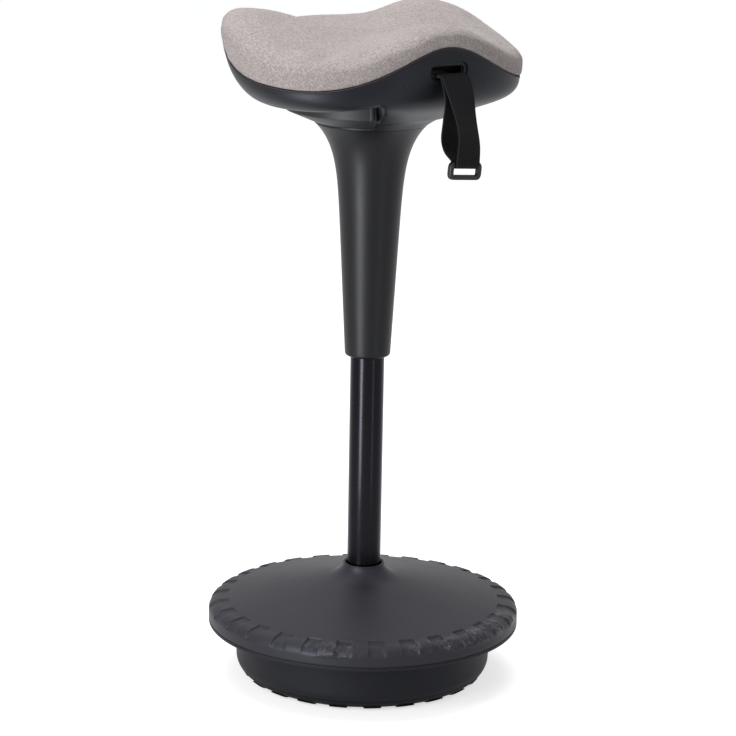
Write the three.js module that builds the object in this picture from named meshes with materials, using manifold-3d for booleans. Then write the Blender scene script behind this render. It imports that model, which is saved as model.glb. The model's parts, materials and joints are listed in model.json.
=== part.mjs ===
// Perch stool: saddle seat on a gas column, standing on a round weighted base.
// Millimetres, +Z up, floor at height zero, front of the seat towards -Y.

import * as THREE from 'three';
import { mergeVertices } from 'three/addons/utils/BufferGeometryUtils.js';
import Module from 'manifold-3d';

const wasm = await Module();
wasm.setup();

// Clearances and small common sizes
const seatGap = 0.3;
const facetAllowance = 0.25;
const slideGap = 0.4;
const cutOverrun = 6;
const weldTolerance = 0.0001;

// Base disc
const baseDiameter = 370;
const baseRadius = baseDiameter / 2;
const flangeBottom = 64;
const flangeThickness = 4.4;
const rimWallTop = 79;
const rimRoundRun = 16.5;
const rimShoulderRadius = baseRadius - rimRoundRun;
const rimShoulderHeight = 91.2;
const coneFootRadius = 45;
const coneFootHeight = 119.2;
const bossRadius = 24.6;
const bossTop = 136.8;
const bossBore = 21.7;
const bossLip = 1.1;
const coverWall = 3.2;

// Facet counts
const coverSteps = 60;
const bowlSteps = 40;
const soleSteps = 40;
const sleeveSteps = 36;
const seatSteps = 48;
const leverSteps = 60;
const columnSteps = 22;
const smallSteps = 16;
const screwSteps = 8;

// Rim recesses
const recessCount = 30;
const recessDepth = 1.5;
const recessHalfAngle = 2.75 * Math.PI / 180;
const recessPhase = 9 * Math.PI / 180;
const recessFoot = 73;

// Bowl and sole
const rimOverhang = 33.4;
const bowlRadius = baseRadius - rimOverhang;
const bowlDraft = 1.2;
const bowlTopRadius = bowlRadius + bowlDraft;
const bowlShoulder = 24;
const bowlWall = 3.2;
const bowlSideRun = 21.6;
const bowlFlatRadius = bowlRadius - bowlSideRun;
const bowlBottomLift = 2;
const bowlFillet = 4.5;
const soleThickness = 3.5;
const soleTop = 14;
const lugCount = 20;
const lugHalfAngle = 4.3 * Math.PI / 180;
const lugStand = 2.3;
const lugTop = 9.5;
const lugReach = 18;
const lugInnerRadius = bowlFlatRadius - lugReach;
const lugPhase = 4.5 * Math.PI / 180;

// Ballast and column socket
const ballastInner = 34;
const ballastMargin = 6;
const ballastOuter = bowlFlatRadius - ballastMargin;
const ballastThickness = 20;
const ballastBevel = 2.5;
const socketWall = 4.4;
const socketTop = 92;
const socketFlangeRadius = 62;
const socketFlangeThickness = 5;
const flangeScrewCircle = 47;
const flangeScrewCount = 4;
const flangeScrewRadius = 4;
const flangeScrewHeadRadius = 6.5;
const flangeScrewHeadHeight = 5;
const flangeScrewReach = 14;

// Stand tube
const tubeRadius = 20;
const tubeWall = 1.5;
const tubeBottom = 14;
const tubeEndPlate = 4;
const tubeTop = 470;
const tubeLip = 0.8;
const bushingLength = 80;
const bushingCollar = 2.4;

// Gas column
const rodRadius = 5;
const rodBottom = 8;
const rodTop = 440;
const cylinderRadius = 14;
const cylinderWall = 1.6;
const cylinderBottom = 350;
const cylinderLift = 23;
const cylinderTaperLength = 44;
const cylinderTopRadius = 12.7;
const cylinderHeadThickness = 12;
const cylinderEdge = 1;
const glandLength = 15;
const glandInset = 1.5;
const pistonLength = 11;
const pistonGroove = 1;
const washerThickness = 2;
const washerRadius = 17.4;
const ballRadius = 1.9;
const ballCount = 9;
const ballCircle = 13;
const cageThickness = 1.6;
const cageInner = 9.6;
const cageOuter = 16.4;
const bumperHeight = 18;
const bumperRadius = 10;
const rodWasherThickness = 1.8;
const rodWasherRadius = 10;
const clipThickness = 1.2;
const clipRadius = 8.6;
const clipMouth = 5;
const clipDepth = 0.6;
const pinRadius = 2.2;
const pinLength = 18;
const pinStandProud = 6;

// Column sleeve
const sleeveBottom = 391;
const sleeveTopGap = 0.4;
const sleeveFootRadius = 26.8;
const sleeveTaperRise = 14.4;
const sleeveTopRadius = 64.2;
const sleeveFlarePower = 10.5;
const sleeveWall = 2.6;
const sleeveFootRound = 3.4;
const sleeveMouth = 20.9;

// Seat plan and heights
const seatHalfWidth = 173.5;
const seatHalfDepth = 144;
const planPower = 2.26;
const seamLowRise = 57;
const seamPommelRise = 45;
const seamWingRise = 47;
const seamPommelSpread = 32 * Math.PI / 180;
const seamWingSpread = 32 * Math.PI / 180;
const wingAngle = 135 * Math.PI / 180;
const crestLowRise = 22.3;
const crestPommelRise = 44.6;
const crestWingRise = 48.5;
const crestRearRise = 29.1;
const crestPommelSpread = 40.4 * Math.PI / 180;
const crestWingFrontSpread = 42.8 * Math.PI / 180;
const crestWingRearSpread = 29 * Math.PI / 180;
const crestRearSpread = 35 * Math.PI / 180;
const crestWingAngle = 120.2 * Math.PI / 180;
const foamCentreDepth = 45;
const cushionBulge = 3.2;
const bulgeShare = 0.55;
const edgeRollWidth = 23;
const coverThickness = 1.2;

// Seat shell
const jointRadius = 64.5;
const jointHeight = 665;
const seamLow = jointHeight + seamLowRise;
const crestLow = seamLow + crestLowRise;
const sleeveTop = jointHeight - sleeveTopGap;
const cylinderTop = jointHeight + cylinderLift;
const jointBore = 61.2;
const shellWall = 3;
const shellRise = 24;
const shellRiseLean = 5.5;
const shellRiseShare = 0.97;
const shellWallPower = 3.65;
const shellWallPowerLean = 2.2;
const shellWallRoundShare = 0.52;
const shellWallLeanShare = -0.245;
const fingerRecessRise = 17;
const fingerRecessEndShare = 0.12;
const fingerRecessMargin = 10;
const fingerRecessReach = 46;
const fingerRecessLead = 2 * Math.PI / 180;

// Seat board
const plateLift = 22;
const plateTop = jointHeight + plateLift;
const boardStandOff = 35;
const boardCrown = plateTop + boardStandOff;
const seatCentreHeight = boardCrown + foamCentreDepth;
const boardThickness = 9.2;
const boardReachShare = 0.925;
const boardPower = 2.4;
const boardBossRadius = 9;

// Seat plate with hub
const plateThickness = 3;
const plateHalfLength = 60;
const plateHalfWidth = 55;
const plateCorner = 12;
const hubDrop = 2.5;
const hubBottom = jointHeight - hubDrop;
const hubWall = 5.2;
const boltAcross = 48;
const boltAlong = 42;
const boltRadius = 3;
const boltHeadRadius = 5.2;
const boltHeadHeight = 4;
const boltReach = 20;
const earThickness = 2.5;
const earHalfLength = 6;
const earInnerFace = 11;

// Lever
const leverStartAngle = 34 * Math.PI / 180;
const leverEndAngle = 152 * Math.PI / 180;
const leverOuter = 101.5;
const leverInner = 66;
const leverGap = 1.4;
const leverInnerGap = 0.5;
const leverFrontGap = 3.2;
const leverWallRise = 17;
const leverWallHeight = 16.4;
const leverFloorRise = 2.4;
const leverWallBottom = jointHeight + leverWallRise;
const leverWallTop = leverWallBottom + leverWallHeight;
const leverFloorInner = jointHeight + leverFloorRise;
const leverFloorThickness = 3;
const leverWallThickness = 3;
const leverRound = 1.6;
const pivotOffset = 38;
const pivotRise = 31;
const pivotHeight = jointHeight + pivotRise;
const pivotRadius = 2.5;
const pivotHalfLength = 15.5;
const armThickness = 3;
const armHalfWidth = 8;
const armTip = 6;
const armInset = 11.5;
const armReach = leverOuter - armInset;
const armBarrel = 5;
const armBossDepth = 28.5;
const armBossInner = leverOuter - armBossDepth;
const armBossHalfWidth = 9;
const leverScrewRadius = 2.2;
const leverScrewHead = 4.2;
const leverScrewHeadHeight = 2.6;
const leverScrewReach = 12;

// Slot and strap
const slotDrop = 25.4;
const slotHeight = seamLow + seamPommelRise - slotDrop;
const slotHalfLength = 24.6;
const slotHalfRise = 5.2;
const bezelWall = 2.3;
const bezelDepth = 7;
const bezelSetBack = 0.6;
const strapHalfWidth = 19;
const strapThickness = 1.6;
const strapLayerGap = 0.35;
const strapTwist = 10 * Math.PI / 180;
const strapBellyTwist = 12 * Math.PI / 180;
const strapTilt = 6.6 * Math.PI / 180;
const strapOffset = 4.2;
const strapAxisReach = 27.5;
const strapFrontReach = 34.8;
const strapBackReach = 10;
const strapMouthReach = 3;
const strapShoulderReach = 8;
const strapAxisDepth = seatHalfDepth + strapAxisReach;
const strapFrontDepth = seatHalfDepth + strapFrontReach;
const strapBackDepth = seatHalfDepth + strapBackReach;
const strapMouthDepth = seatHalfDepth + strapMouthReach;
const strapShoulderDepth = seatHalfDepth + strapShoulderReach;
const strapShoulderDrop = 7.6;
const strapDrop = 100.2;
const strapBellyShare = 0.74;
const strapEndInset = 43;
const strapEndDepth = seatHalfDepth - strapEndInset;
const clampRise = 5.6;
const clampHeight = boardCrown + clampRise;
const clampHalfLength = 22;
const clampHalfDepth = 5.5;
const clampInset = 36;
const clampDepth = seatHalfDepth - clampInset;
const clampThickness = 3;
const padHeight = 9;
const clampScrewAcross = 13;
const clampScrewRadius = 2;
const clampScrewHead = 3.9;
const clampScrewHeadHeight = 2.4;
const clampScrewReach = 9;
const ringTopHeight = slotHeight - strapDrop;
const strapShoulderHeight = slotHeight - strapShoulderDrop;
const strapBellyHeight = slotHeight - strapDrop * strapBellyShare;
const ringHalfWidth = 25.8;
const ringHeight = 20.4;
const ringBar = 2.9;
const ringCorner = 3.4;

const wholeTurn = 2 * Math.PI;
const quarterTurn = Math.PI / 2;

const group = new THREE.Group();
group.name = 'perch_stool';

// Finishes, one new material per mesh
const finishes = {
  rubber: [0x3c3c42, 0.62, 0],
  satinPlastic: [0x2c2d32, 0.5, 0],
  glossBlack: [0x1b1b1f, 0.18, 0.3],
  castIron: [0x55565a, 0.75, 0.6],
  steel: [0x9a9ca0, 0.35, 0.9],
  chrome: [0xc4c6ca, 0.12, 1],
  nylon: [0xd8d5cc, 0.5, 0],
  fabric: [0xb7aeac, 0.95, 0],
  foam: [0xe6dfc4, 0.95, 0],
  plywood: [0x2b2825, 0.7, 0],
  webbing: [0x1d1d1f, 0.85, 0],
};

/** Adds one named mesh with its own material. */
function addPiece(name, geometry, finish) {
  const [colour, roughness, metalness] = finishes[finish];
  const material = new THREE.MeshStandardMaterial({ color: colour, roughness, metalness });
  const mesh = new THREE.Mesh(geometry, material);
  mesh.name = name;
  group.add(mesh);
}

/** Signed volume of an indexed geometry. */
function signedVolume(position, index) {
  const a = new THREE.Vector3();
  const b = new THREE.Vector3();
  const c = new THREE.Vector3();
  let sum = 0;
  for (let i = 0; i < index.length; i += 3) {
    a.fromBufferAttribute(position, index[i]);
    b.fromBufferAttribute(position, index[i + 1]);
    c.fromBufferAttribute(position, index[i + 2]);
    sum += a.dot(b.cross(c));
  }
  return sum;
}

/** Joins equal vertices, drops flat triangles and turns all faces outwards. */
function closed(geometry) {
  const bare = new THREE.BufferGeometry();
  bare.setAttribute('position', geometry.getAttribute('position').clone());
  if (geometry.index) bare.setIndex(geometry.index.clone());
  const merged = mergeVertices(bare, weldTolerance);
  const position = merged.getAttribute('position');
  const kept = [];
  const source = merged.index.array;
  for (let i = 0; i < source.length; i += 3) {
    const [a, b, c] = [source[i], source[i + 1], source[i + 2]];
    if (a !== b && b !== c && c !== a) kept.push(a, b, c);
  }
  if (signedVolume(position, kept) < 0) {
    for (let i = 0; i < kept.length; i += 3) {
      [kept[i + 1], kept[i + 2]] = [kept[i + 2], kept[i + 1]];
    }
  }
  merged.setIndex(kept);
  merged.computeVertexNormals();
  return merged;
}

/** Turns a closed geometry into a solid for cutting. */
function solid(geometry) {
  const clean = closed(geometry);
  return new wasm.Manifold(new wasm.Mesh({
    numProp: 3,
    vertProperties: new Float32Array(clean.getAttribute('position').array),
    triVerts: new Uint32Array(clean.index.array),
  }));
}

/** Turns a cut solid back into a geometry. */
function shaped(manifold) {
  const mesh = manifold.getMesh();
  const geometry = new THREE.BufferGeometry();
  const stride = mesh.numProp;
  const count = mesh.vertProperties.length / stride;
  const values = new Float32Array(count * 3);
  for (let i = 0; i < count; i += 1) {
    for (let k = 0; k < 3; k += 1) values[3 * i + k] = mesh.vertProperties[stride * i + k];
  }
  geometry.setAttribute('position', new THREE.BufferAttribute(values, 3));
  geometry.setIndex([...mesh.triVerts]);
  geometry.computeVertexNormals();
  return geometry;
}

/** Joins a list of solids. */
function joined(solids) {
  return solids.reduce((sum, next) => sum.add(next));
}

/** Full turn of an outline of radius and height pairs about the upright axis. */
function turned(outline, steps) {
  const points = outline.map(([radius, height]) => new THREE.Vector2(radius, height));
  const geometry = new THREE.LatheGeometry(points, steps);
  geometry.rotateX(quarterTurn);
  return closed(geometry);
}

/** Turned ring with a square section. */
function washer(inner, outer, bottom, top, steps) {
  return turned([[inner, bottom], [outer, bottom], [outer, top], [inner, top], [inner, bottom]],
    steps);
}

/** Solid turned rod. */
function rod(radius, bottom, top, steps) {
  return turned([[0, bottom], [radius, bottom], [radius, top], [0, top]], steps);
}

/** Box from its two corners. */
function block(low, high) {
  const size = low.map((value, axis) => high[axis] - value);
  const geometry = new THREE.BoxGeometry(...size);
  geometry.translate(...low.map((value, axis) => value + size[axis] / 2));
  return closed(geometry);
}

/** Upright prism from a flat outline. */
function prism(outline, bottom, top) {
  const shape = new THREE.Shape(outline.map(([x, y]) => new THREE.Vector2(x, y)));
  const geometry = new THREE.ExtrudeGeometry(shape, { depth: top - bottom, bevelEnabled: false });
  geometry.translate(0, 0, bottom);
  return closed(geometry);
}

/** Point on the plan at an angle from the front, positive towards -X. */
function around(angle, radius) {
  return [-radius * Math.sin(angle), -radius * Math.cos(angle)];
}

/** Sector prism between two plan angles. */
function wedge(start, end, radius, bottom, top) {
  const steps = Math.max(1, Math.ceil((end - start) / (quarterTurn / 2)));
  const outline = [[0, 0]];
  for (let i = 0; i <= steps; i += 1) {
    outline.push(around(start + (end - start) * i / steps, radius));
  }
  return prism(outline, bottom, top);
}

/** Same geometry repeated round the upright axis. */
function repeated(geometry, count, phase) {
  const copies = [];
  for (let i = 0; i < count; i += 1) {
    const copy = geometry.clone();
    copy.rotateZ(phase + wholeTurn * i / count);
    copies.push(copy);
  }
  return copies;
}

/** Arc of an ellipse as radius and height pairs. */
function ellipseArc(centre, half, start, end, steps) {
  const points = [];
  for (let i = 0; i <= steps; i += 1) {
    const angle = start + (end - start) * i / steps;
    points.push([centre[0] + half[0] * Math.cos(angle), centre[1] + half[1] * Math.sin(angle)]);
  }
  return points;
}

/** Closed surface through rings of equal point counts, ring ends joined. */
function ringedSolid(rings) {
  const count = rings[0].length;
  const values = rings.flat(2);
  const index = [];
  for (let i = 0; i < rings.length; i += 1) {
    const next = (i + 1) % rings.length;
    for (let k = 0; k < count; k += 1) {
      const turn = (k + 1) % count;
      const a = i * count + k;
      const b = next * count + k;
      const c = next * count + turn;
      const d = i * count + turn;
      index.push(a, b, c, a, c, d);
    }
  }
  const geometry = new THREE.BufferGeometry();
  geometry.setAttribute('position', new THREE.BufferAttribute(new Float32Array(values), 3));
  geometry.setIndex(index);
  return closed(geometry);
}

/** Solid whose section at each plan angle is a closed outline of radius and height. */
function swirled(sectionAt, steps) {
  const rings = [];
  for (let i = 0; i < steps; i += 1) {
    const angle = wholeTurn * i / steps;
    rings.push(sectionAt(angle).map(([radius, height]) => [...around(angle, radius), height]));
  }
  return ringedSolid(rings);
}

// Base: bowl curve shared by bowl, sole and lugs
const bowlCurveCentre = [bowlFlatRadius, bowlShoulder];
const bowlCurveHalf = [bowlRadius - bowlFlatRadius, bowlShoulder - bowlBottomLift];

/** Bowl curve offset outwards, between two heights. */
function bowlCurve(offset, low, high, steps) {
  const half = bowlCurveHalf.map((value) => value + offset);
  const start = Math.asin(Math.max(-1, (low - bowlShoulder) / half[1]));
  const end = Math.asin(Math.min(1, (high - bowlShoulder) / half[1]));
  return ellipseArc(bowlCurveCentre, half, start, end, steps);
}

/** Moulded rubber sole with a ring of lugs round its lower edge. */
function buildSole() {
  const outer = bowlCurve(0, bowlBottomLift, soleTop, 3);
  const inner = bowlCurve(-soleThickness, bowlBottomLift + soleThickness, soleTop, 3).reverse();
  const body = turned([
    [0, 0],
    [bowlFlatRadius - bowlBottomLift, 0],
    ...outer,
    ...inner,
    [bowlFlatRadius - bowlBottomLift, soleThickness],
    [0, soleThickness],
  ], soleSteps);
  const face = bowlCurve(lugStand, 0, lugTop, 2);
  const inset = bowlCurve(-soleThickness / 3, soleThickness, lugTop, 2).reverse();
  const band = turned([
    [lugInnerRadius, 0],
    ...face,
    ...inset,
    [lugInnerRadius, soleThickness / 2],
    [lugInnerRadius, 0],
  ], soleSteps);
  const sector = wedge(-lugHalfAngle, lugHalfAngle, baseRadius, -cutOverrun, flangeBottom);
  const sectors = repeated(sector, lugCount, lugPhase).map(solid);
  const lugs = solid(band).intersect(joined(sectors));
  return shaped(solid(body).add(lugs));
}

/** Plastic bowl under the rim, with the flange that carries the cover. */
function buildBowl() {
  const rebate = soleThickness + seatGap;
  const flangeTop = flangeBottom + flangeThickness;
  const round = flangeThickness / 3;
  const floor = bowlBottomLift + rebate;
  const inner = -rebate - bowlWall;
  return turned([
    [0, soleThickness + seatGap],
    [bowlFlatRadius - bowlBottomLift - seatGap, soleThickness + seatGap],
    ...bowlCurve(-rebate, floor, soleTop + seatGap, 3),
    ...bowlCurve(0, soleTop + seatGap, bowlShoulder, 2),
    [bowlTopRadius, flangeBottom - bowlFillet],
    [bowlTopRadius + bowlFillet / 3, flangeBottom - bowlFillet / 3],
    [bowlTopRadius + bowlFillet, flangeBottom],
    [baseRadius - round, flangeBottom],
    [baseRadius, flangeBottom + round],
    [baseRadius, flangeTop],
    [bowlTopRadius - bowlWall, flangeTop],
    [bowlRadius - bowlWall, bowlShoulder],
    ...bowlCurve(inner, floor + bowlWall, bowlShoulder, 3).reverse(),
    [bowlFlatRadius - bowlBottomLift, soleThickness + seatGap + bowlWall],
    [0, soleThickness + seatGap + bowlWall],
  ], bowlSteps);
}

/** Outline of the cover top from the rim wall to the boss bore. */
function coverOutline(inset, steps) {
  const run = baseRadius - rimShoulderRadius;
  const rise = rimShoulderHeight - rimWallTop;
  const centre = [rimShoulderRadius, rimWallTop];
  const round = ellipseArc(centre, [run - inset, rise - inset], 0, quarterTurn, steps);
  return [...round, [coneFootRadius, coneFootHeight - inset]];
}

/** Concave flare from the cone up to the boss lip. */
function bossFlare(steps) {
  const points = [];
  const rise = bossTop - bossLip - coneFootHeight;
  for (let i = 1; i <= steps; i += 1) {
    const angle = quarterTurn * i / steps;
    const radius = coneFootRadius - (coneFootRadius - bossRadius) * Math.sin(angle);
    points.push([radius, coneFootHeight + rise * (1 - Math.cos(angle))]);
  }
  return points;
}

/** Moulded cover: rim, shallow cone, boss, and the ring of rim recesses. */
function buildCover() {
  const bottom = flangeBottom + flangeThickness + seatGap;
  const innerFoot = coneFootHeight - coverWall;
  const body = turned([
    [baseRadius - coverWall, bottom],
    [baseRadius, bottom],
    ...coverOutline(0, 3),
    ...bossFlare(3),
    [bossRadius - bossLip, bossTop],
    [bossBore + bossLip, bossTop],
    [bossBore, bossTop - bossLip],
    [bossBore, innerFoot],
    ...coverOutline(coverWall, 2).reverse(),
    [baseRadius - coverWall, bottom],
  ], coverSteps);
  const cut = turned([
    [baseRadius + cutOverrun, recessFoot],
    [baseRadius - recessDepth, recessFoot],
    ...coverOutline(recessDepth, 3).slice(0, -1),
    [rimShoulderRadius, rimShoulderHeight + cutOverrun],
    [baseRadius + cutOverrun, rimShoulderHeight + cutOverrun],
    [baseRadius + cutOverrun, recessFoot],
  ], coverSteps);
  const reach = baseRadius + cutOverrun + cutOverrun;
  const top = rimShoulderHeight + cutOverrun + cutOverrun;
  const sector = wedge(-recessHalfAngle, recessHalfAngle, reach, 0, top);
  const sectors = repeated(sector, recessCount, recessPhase).map(solid);
  return shaped(solid(body).subtract(solid(cut).intersect(joined(sectors))));
}

// Column parts
const socketInner = tubeRadius + seatGap + facetAllowance;
const ballastBottom = soleThickness + seatGap + bowlWall + seatGap;
const ballastTop = ballastBottom + ballastThickness;
const socketFlangeBottom = ballastTop + seatGap;
const socketFlangeTop = socketFlangeBottom + socketFlangeThickness;
const tubeInner = tubeRadius - tubeWall;

/** Cast iron weight lying in the bowl, tapped for the flange screws. */
function buildBallast() {
  const body = turned([
    [ballastInner, ballastBottom],
    [ballastOuter, ballastBottom],
    [ballastOuter, ballastTop - ballastBevel],
    [ballastOuter - ballastBevel, ballastTop],
    [ballastInner, ballastTop],
    [ballastInner, ballastBottom],
  ], columnSteps);
  return drilled(body, flangeScrewRadius + seatGap, ballastTop - flangeScrewReach, ballastTop);
}

/** Cuts the flange screw holes. */
function drilled(body, radius, bottom, top) {
  const hole = rod(radius, bottom - seatGap, top + cutOverrun, screwSteps);
  hole.translate(flangeScrewCircle, 0, 0);
  const phase = quarterTurn / 2;
  const holes = repeated(hole, flangeScrewCount, phase).map(solid);
  return shaped(solid(body).subtract(joined(holes)));
}

/** Steel socket that holds the stand tube, with its bolting flange. */
function buildSocket() {
  const outer = socketInner + socketWall;
  const body = turned([
    [socketInner, tubeBottom],
    [outer, tubeBottom],
    [outer, socketFlangeBottom],
    [socketFlangeRadius, socketFlangeBottom],
    [socketFlangeRadius, socketFlangeTop],
    [outer + socketWall, socketFlangeTop],
    [outer, socketFlangeTop + socketWall],
    [outer, socketTop],
    [socketInner, socketTop],
    [socketInner, tubeBottom],
  ], columnSteps);
  const radius = flangeScrewRadius + seatGap;
  return drilled(body, radius, socketFlangeBottom, socketFlangeTop);
}

/** Headed screw standing on a surface, shank pointing down. */
function screwDown(shank, head, headHeight, seat, reach) {
  return turned([
    [0, seat - reach],
    [shank, seat - reach],
    [shank, seat + seatGap],
    [head, seat + seatGap],
    [head, seat + headHeight],
    [0, seat + headHeight],
  ], screwSteps);
}

/** Headed screw under a surface, shank pointing up. */
function screwUp(shank, head, headHeight, seat, reach) {
  return turned([
    [0, seat - headHeight],
    [head, seat - headHeight],
    [head, seat - seatGap],
    [shank, seat - seatGap],
    [shank, seat + reach],
    [0, seat + reach],
  ], screwSteps);
}

/** Stand tube, closed at the foot by a plate with the rod hole. */
function buildTube() {
  const plateUpper = tubeBottom + tubeEndPlate;
  const hole = rodRadius + slideGap;
  return turned([
    [hole, tubeBottom],
    [tubeRadius, tubeBottom],
    [tubeRadius, tubeTop - tubeLip],
    [tubeRadius - tubeLip, tubeTop],
    [tubeInner, tubeTop],
    [tubeInner, plateUpper],
    [hole, plateUpper],
    [hole, tubeBottom],
  ], sleeveSteps);
}

/** Plastic guide bushing inside the tube mouth. */
function buildBushing() {
  const outer = tubeInner - seatGap;
  const inner = cylinderRadius + slideGap;
  const rim = tubeTop + seatGap;
  return turned([
    [inner, tubeTop - bushingLength],
    [outer, tubeTop - bushingLength],
    [outer, rim],
    [tubeRadius - tubeLip, rim],
    [tubeRadius - tubeLip, rim + bushingCollar],
    [inner, rim + bushingCollar],
    [inner, tubeTop - bushingLength],
  ], columnSteps);
}

const bearingBottom = tubeBottom + tubeEndPlate + seatGap;
const rodClearance = rodRadius + seatGap;
const ballLevel = bearingBottom + washerThickness + seatGap + ballRadius;
const upperWasherBottom = ballLevel + ballRadius + seatGap;
const bumperBottom = upperWasherBottom + washerThickness + seatGap;

/** Ball cage of the thrust bearing, balls held in it. */
function buildCage() {
  const low = ballLevel - cageThickness / 2;
  const cage = solid(washer(cageInner, cageOuter, low, low + cageThickness, smallSteps));
  const ball = new THREE.SphereGeometry(ballRadius, 6, 4);
  ball.rotateX(quarterTurn);
  ball.translate(ballCircle, 0, ballLevel);
  const balls = repeated(ball, ballCount, 0).map(solid);
  return shaped(cage.add(joined(balls)));
}

/** Piston rod of the gas spring, with a groove for its clip. */
function buildRod() {
  const clipTop = tubeBottom - rodWasherThickness - seatGap - seatGap;
  const groove = rodRadius - clipDepth;
  const grooveBottom = clipTop - clipThickness - seatGap;
  return turned([
    [0, rodBottom],
    [rodRadius, rodBottom],
    [rodRadius, grooveBottom],
    [groove, grooveBottom],
    [groove, clipTop + seatGap / 2],
    [rodRadius, clipTop + seatGap / 2],
    [rodRadius, rodTop],
    [0, rodTop],
  ], smallSteps);
}

/** Open spring clip in the rod groove under the tube. */
function buildClip() {
  const top = tubeBottom - rodWasherThickness - seatGap - seatGap;
  const bottom = top - clipThickness;
  const inner = rodRadius - clipDepth + seatGap;
  const body = solid(washer(inner, clipRadius, bottom, top, smallSteps));
  const mouth = block([-clipMouth / 2, -clipRadius - cutOverrun, bottom - cutOverrun],
    [clipMouth / 2, 0, top + cutOverrun]);
  return shaped(body.subtract(solid(mouth)));
}

/** Piston with its seal groove on the upper end of the rod. */
function buildPiston() {
  const outer = cylinderRadius - cylinderWall - slideGap;
  const bottom = rodTop - pistonLength;
  const third = pistonLength / 3;
  return turned([
    [rodClearance, bottom],
    [outer, bottom],
    [outer, bottom + third],
    [outer - pistonGroove, bottom + third],
    [outer - pistonGroove, bottom + 2 * third],
    [outer, bottom + 2 * third],
    [outer, rodTop],
    [rodClearance, rodTop],
    [rodClearance, bottom],
  ], smallSteps);
}

/** Rubber bumper round the rod foot. */
function buildBumper() {
  const top = bumperBottom + bumperHeight;
  const waist = bumperRadius - rodRadius / 2;
  return turned([
    [rodClearance, bumperBottom],
    [bumperRadius, bumperBottom],
    [waist, bumperBottom + bumperHeight / 2],
    [bumperRadius, top],
    [rodClearance, top],
    [rodClearance, bumperBottom],
  ], smallSteps);
}

/** Gas cylinder with the cone that wedges into the hub. */
function buildCylinder() {
  const inner = cylinderRadius - cylinderWall;
  const taperStart = cylinderTop - cylinderTaperLength;
  const headBottom = cylinderTop - cylinderHeadThickness;
  const pinHole = pinRadius + slideGap;
  const neck = inner - cylinderWall;
  return turned([
    [inner, cylinderBottom],
    [cylinderRadius - cylinderEdge, cylinderBottom],
    [cylinderRadius, cylinderBottom + cylinderEdge],
    [cylinderRadius, taperStart],
    [cylinderTopRadius, cylinderTop - cylinderEdge],
    [cylinderTopRadius - cylinderEdge, cylinderTop],
    [pinHole, cylinderTop],
    [pinHole, headBottom],
    [neck, headBottom],
    [neck, taperStart],
    [inner, taperStart - cylinderWall],
    [inner, cylinderBottom],
  ], columnSteps);
}

/** Radius of the cylinder cone at a height. */
function coneRadiusAt(height) {
  const start = cylinderTop - cylinderTaperLength;
  const share = (height - start) / (cylinderTaperLength - cylinderEdge);
  return cylinderRadius + (cylinderTopRadius - cylinderRadius) * share;
}

/** Sleeve radius at a share of its height. */
function sleeveRadius(share) {
  const flare = sleeveTopRadius - sleeveFootRadius - sleeveTaperRise;
  return sleeveFootRadius + sleeveTaperRise * share + flare * share ** sleeveFlarePower;
}

/** Trumpet-shaped cover over the column. */
function buildSleeve() {
  const foot = sleeveBottom + sleeveFootRound;
  const rise = sleeveTop - foot;
  const heightShares = [0.3, 0.52, 0.68, 0.79, 0.87, 0.93, 0.97, 1];
  const outer = heightShares.map((share) => [sleeveRadius(share), foot + rise * share]);
  const innerRise = rise + sleeveWall;
  const innerShares = [0.93, 0.79, 0.52];
  const inner = innerShares.map((share) => [
    sleeveRadius(share) - sleeveWall,
    foot + innerRise * share,
  ]);
  const round = ellipseArc([sleeveFootRadius - sleeveFootRound, foot],
    [sleeveFootRound, sleeveFootRound], -quarterTurn, 0, 3);
  return turned([
    [sleeveMouth, sleeveBottom],
    ...round,
    ...outer,
    [sleeveRadius(1) - sleeveWall, sleeveTop],
    ...inner,
    [sleeveFootRadius - sleeveWall, foot],
    [sleeveMouth, foot - seatGap],
    [sleeveMouth, sleeveBottom],
  ], sleeveSteps);
}

// Seat surfaces, all as functions of the plan angle from the front

/** Bell-shaped swell round an angle. */
function bell(angle, centre, spread) {
  const turn = Math.atan2(Math.sin(angle - centre), Math.cos(angle - centre));
  return Math.exp(-((turn / spread) ** 2));
}

/** Pair of swells, one each side. */
function bothSides(angle, centre, spread) {
  return bell(angle, centre, spread) + bell(angle, -centre, spread);
}

/** Pair of wing swells that fall faster towards the rear than towards the front. */
function wingSwell(angle) {
  return [-1, 1].reduce((sum, side) => {
    const centre = side * crestWingAngle;
    const turn = side * Math.atan2(Math.sin(angle - centre), Math.cos(angle - centre));
    return sum + bell(angle, centre, turn > 0 ? crestWingRearSpread : crestWingFrontSpread);
  }, 0);
}

/** Plan radius of the seat seam. */
function seamRadius(angle) {
  const across = Math.abs(Math.sin(angle) / seatHalfWidth) ** planPower;
  const along = Math.abs(Math.cos(angle) / seatHalfDepth) ** planPower;
  return (across + along) ** (-1 / planPower);
}

/** Height of the seam between cushion and shell. */
function seamHeight(angle) {
  const pommel = seamPommelRise * bell(angle, 0, seamPommelSpread);
  return seamLow + pommel + seamWingRise * bothSides(angle, wingAngle, seamWingSpread);
}

/** Height of the cushion crest inside its rolled edge. */
function crestHeight(angle) {
  const pommel = crestPommelRise * bell(angle, 0, crestPommelSpread);
  const wings = crestWingRise * wingSwell(angle);
  return crestLow + pommel + wings + crestRearRise * bell(angle, Math.PI, crestRearSpread);
}

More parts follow.
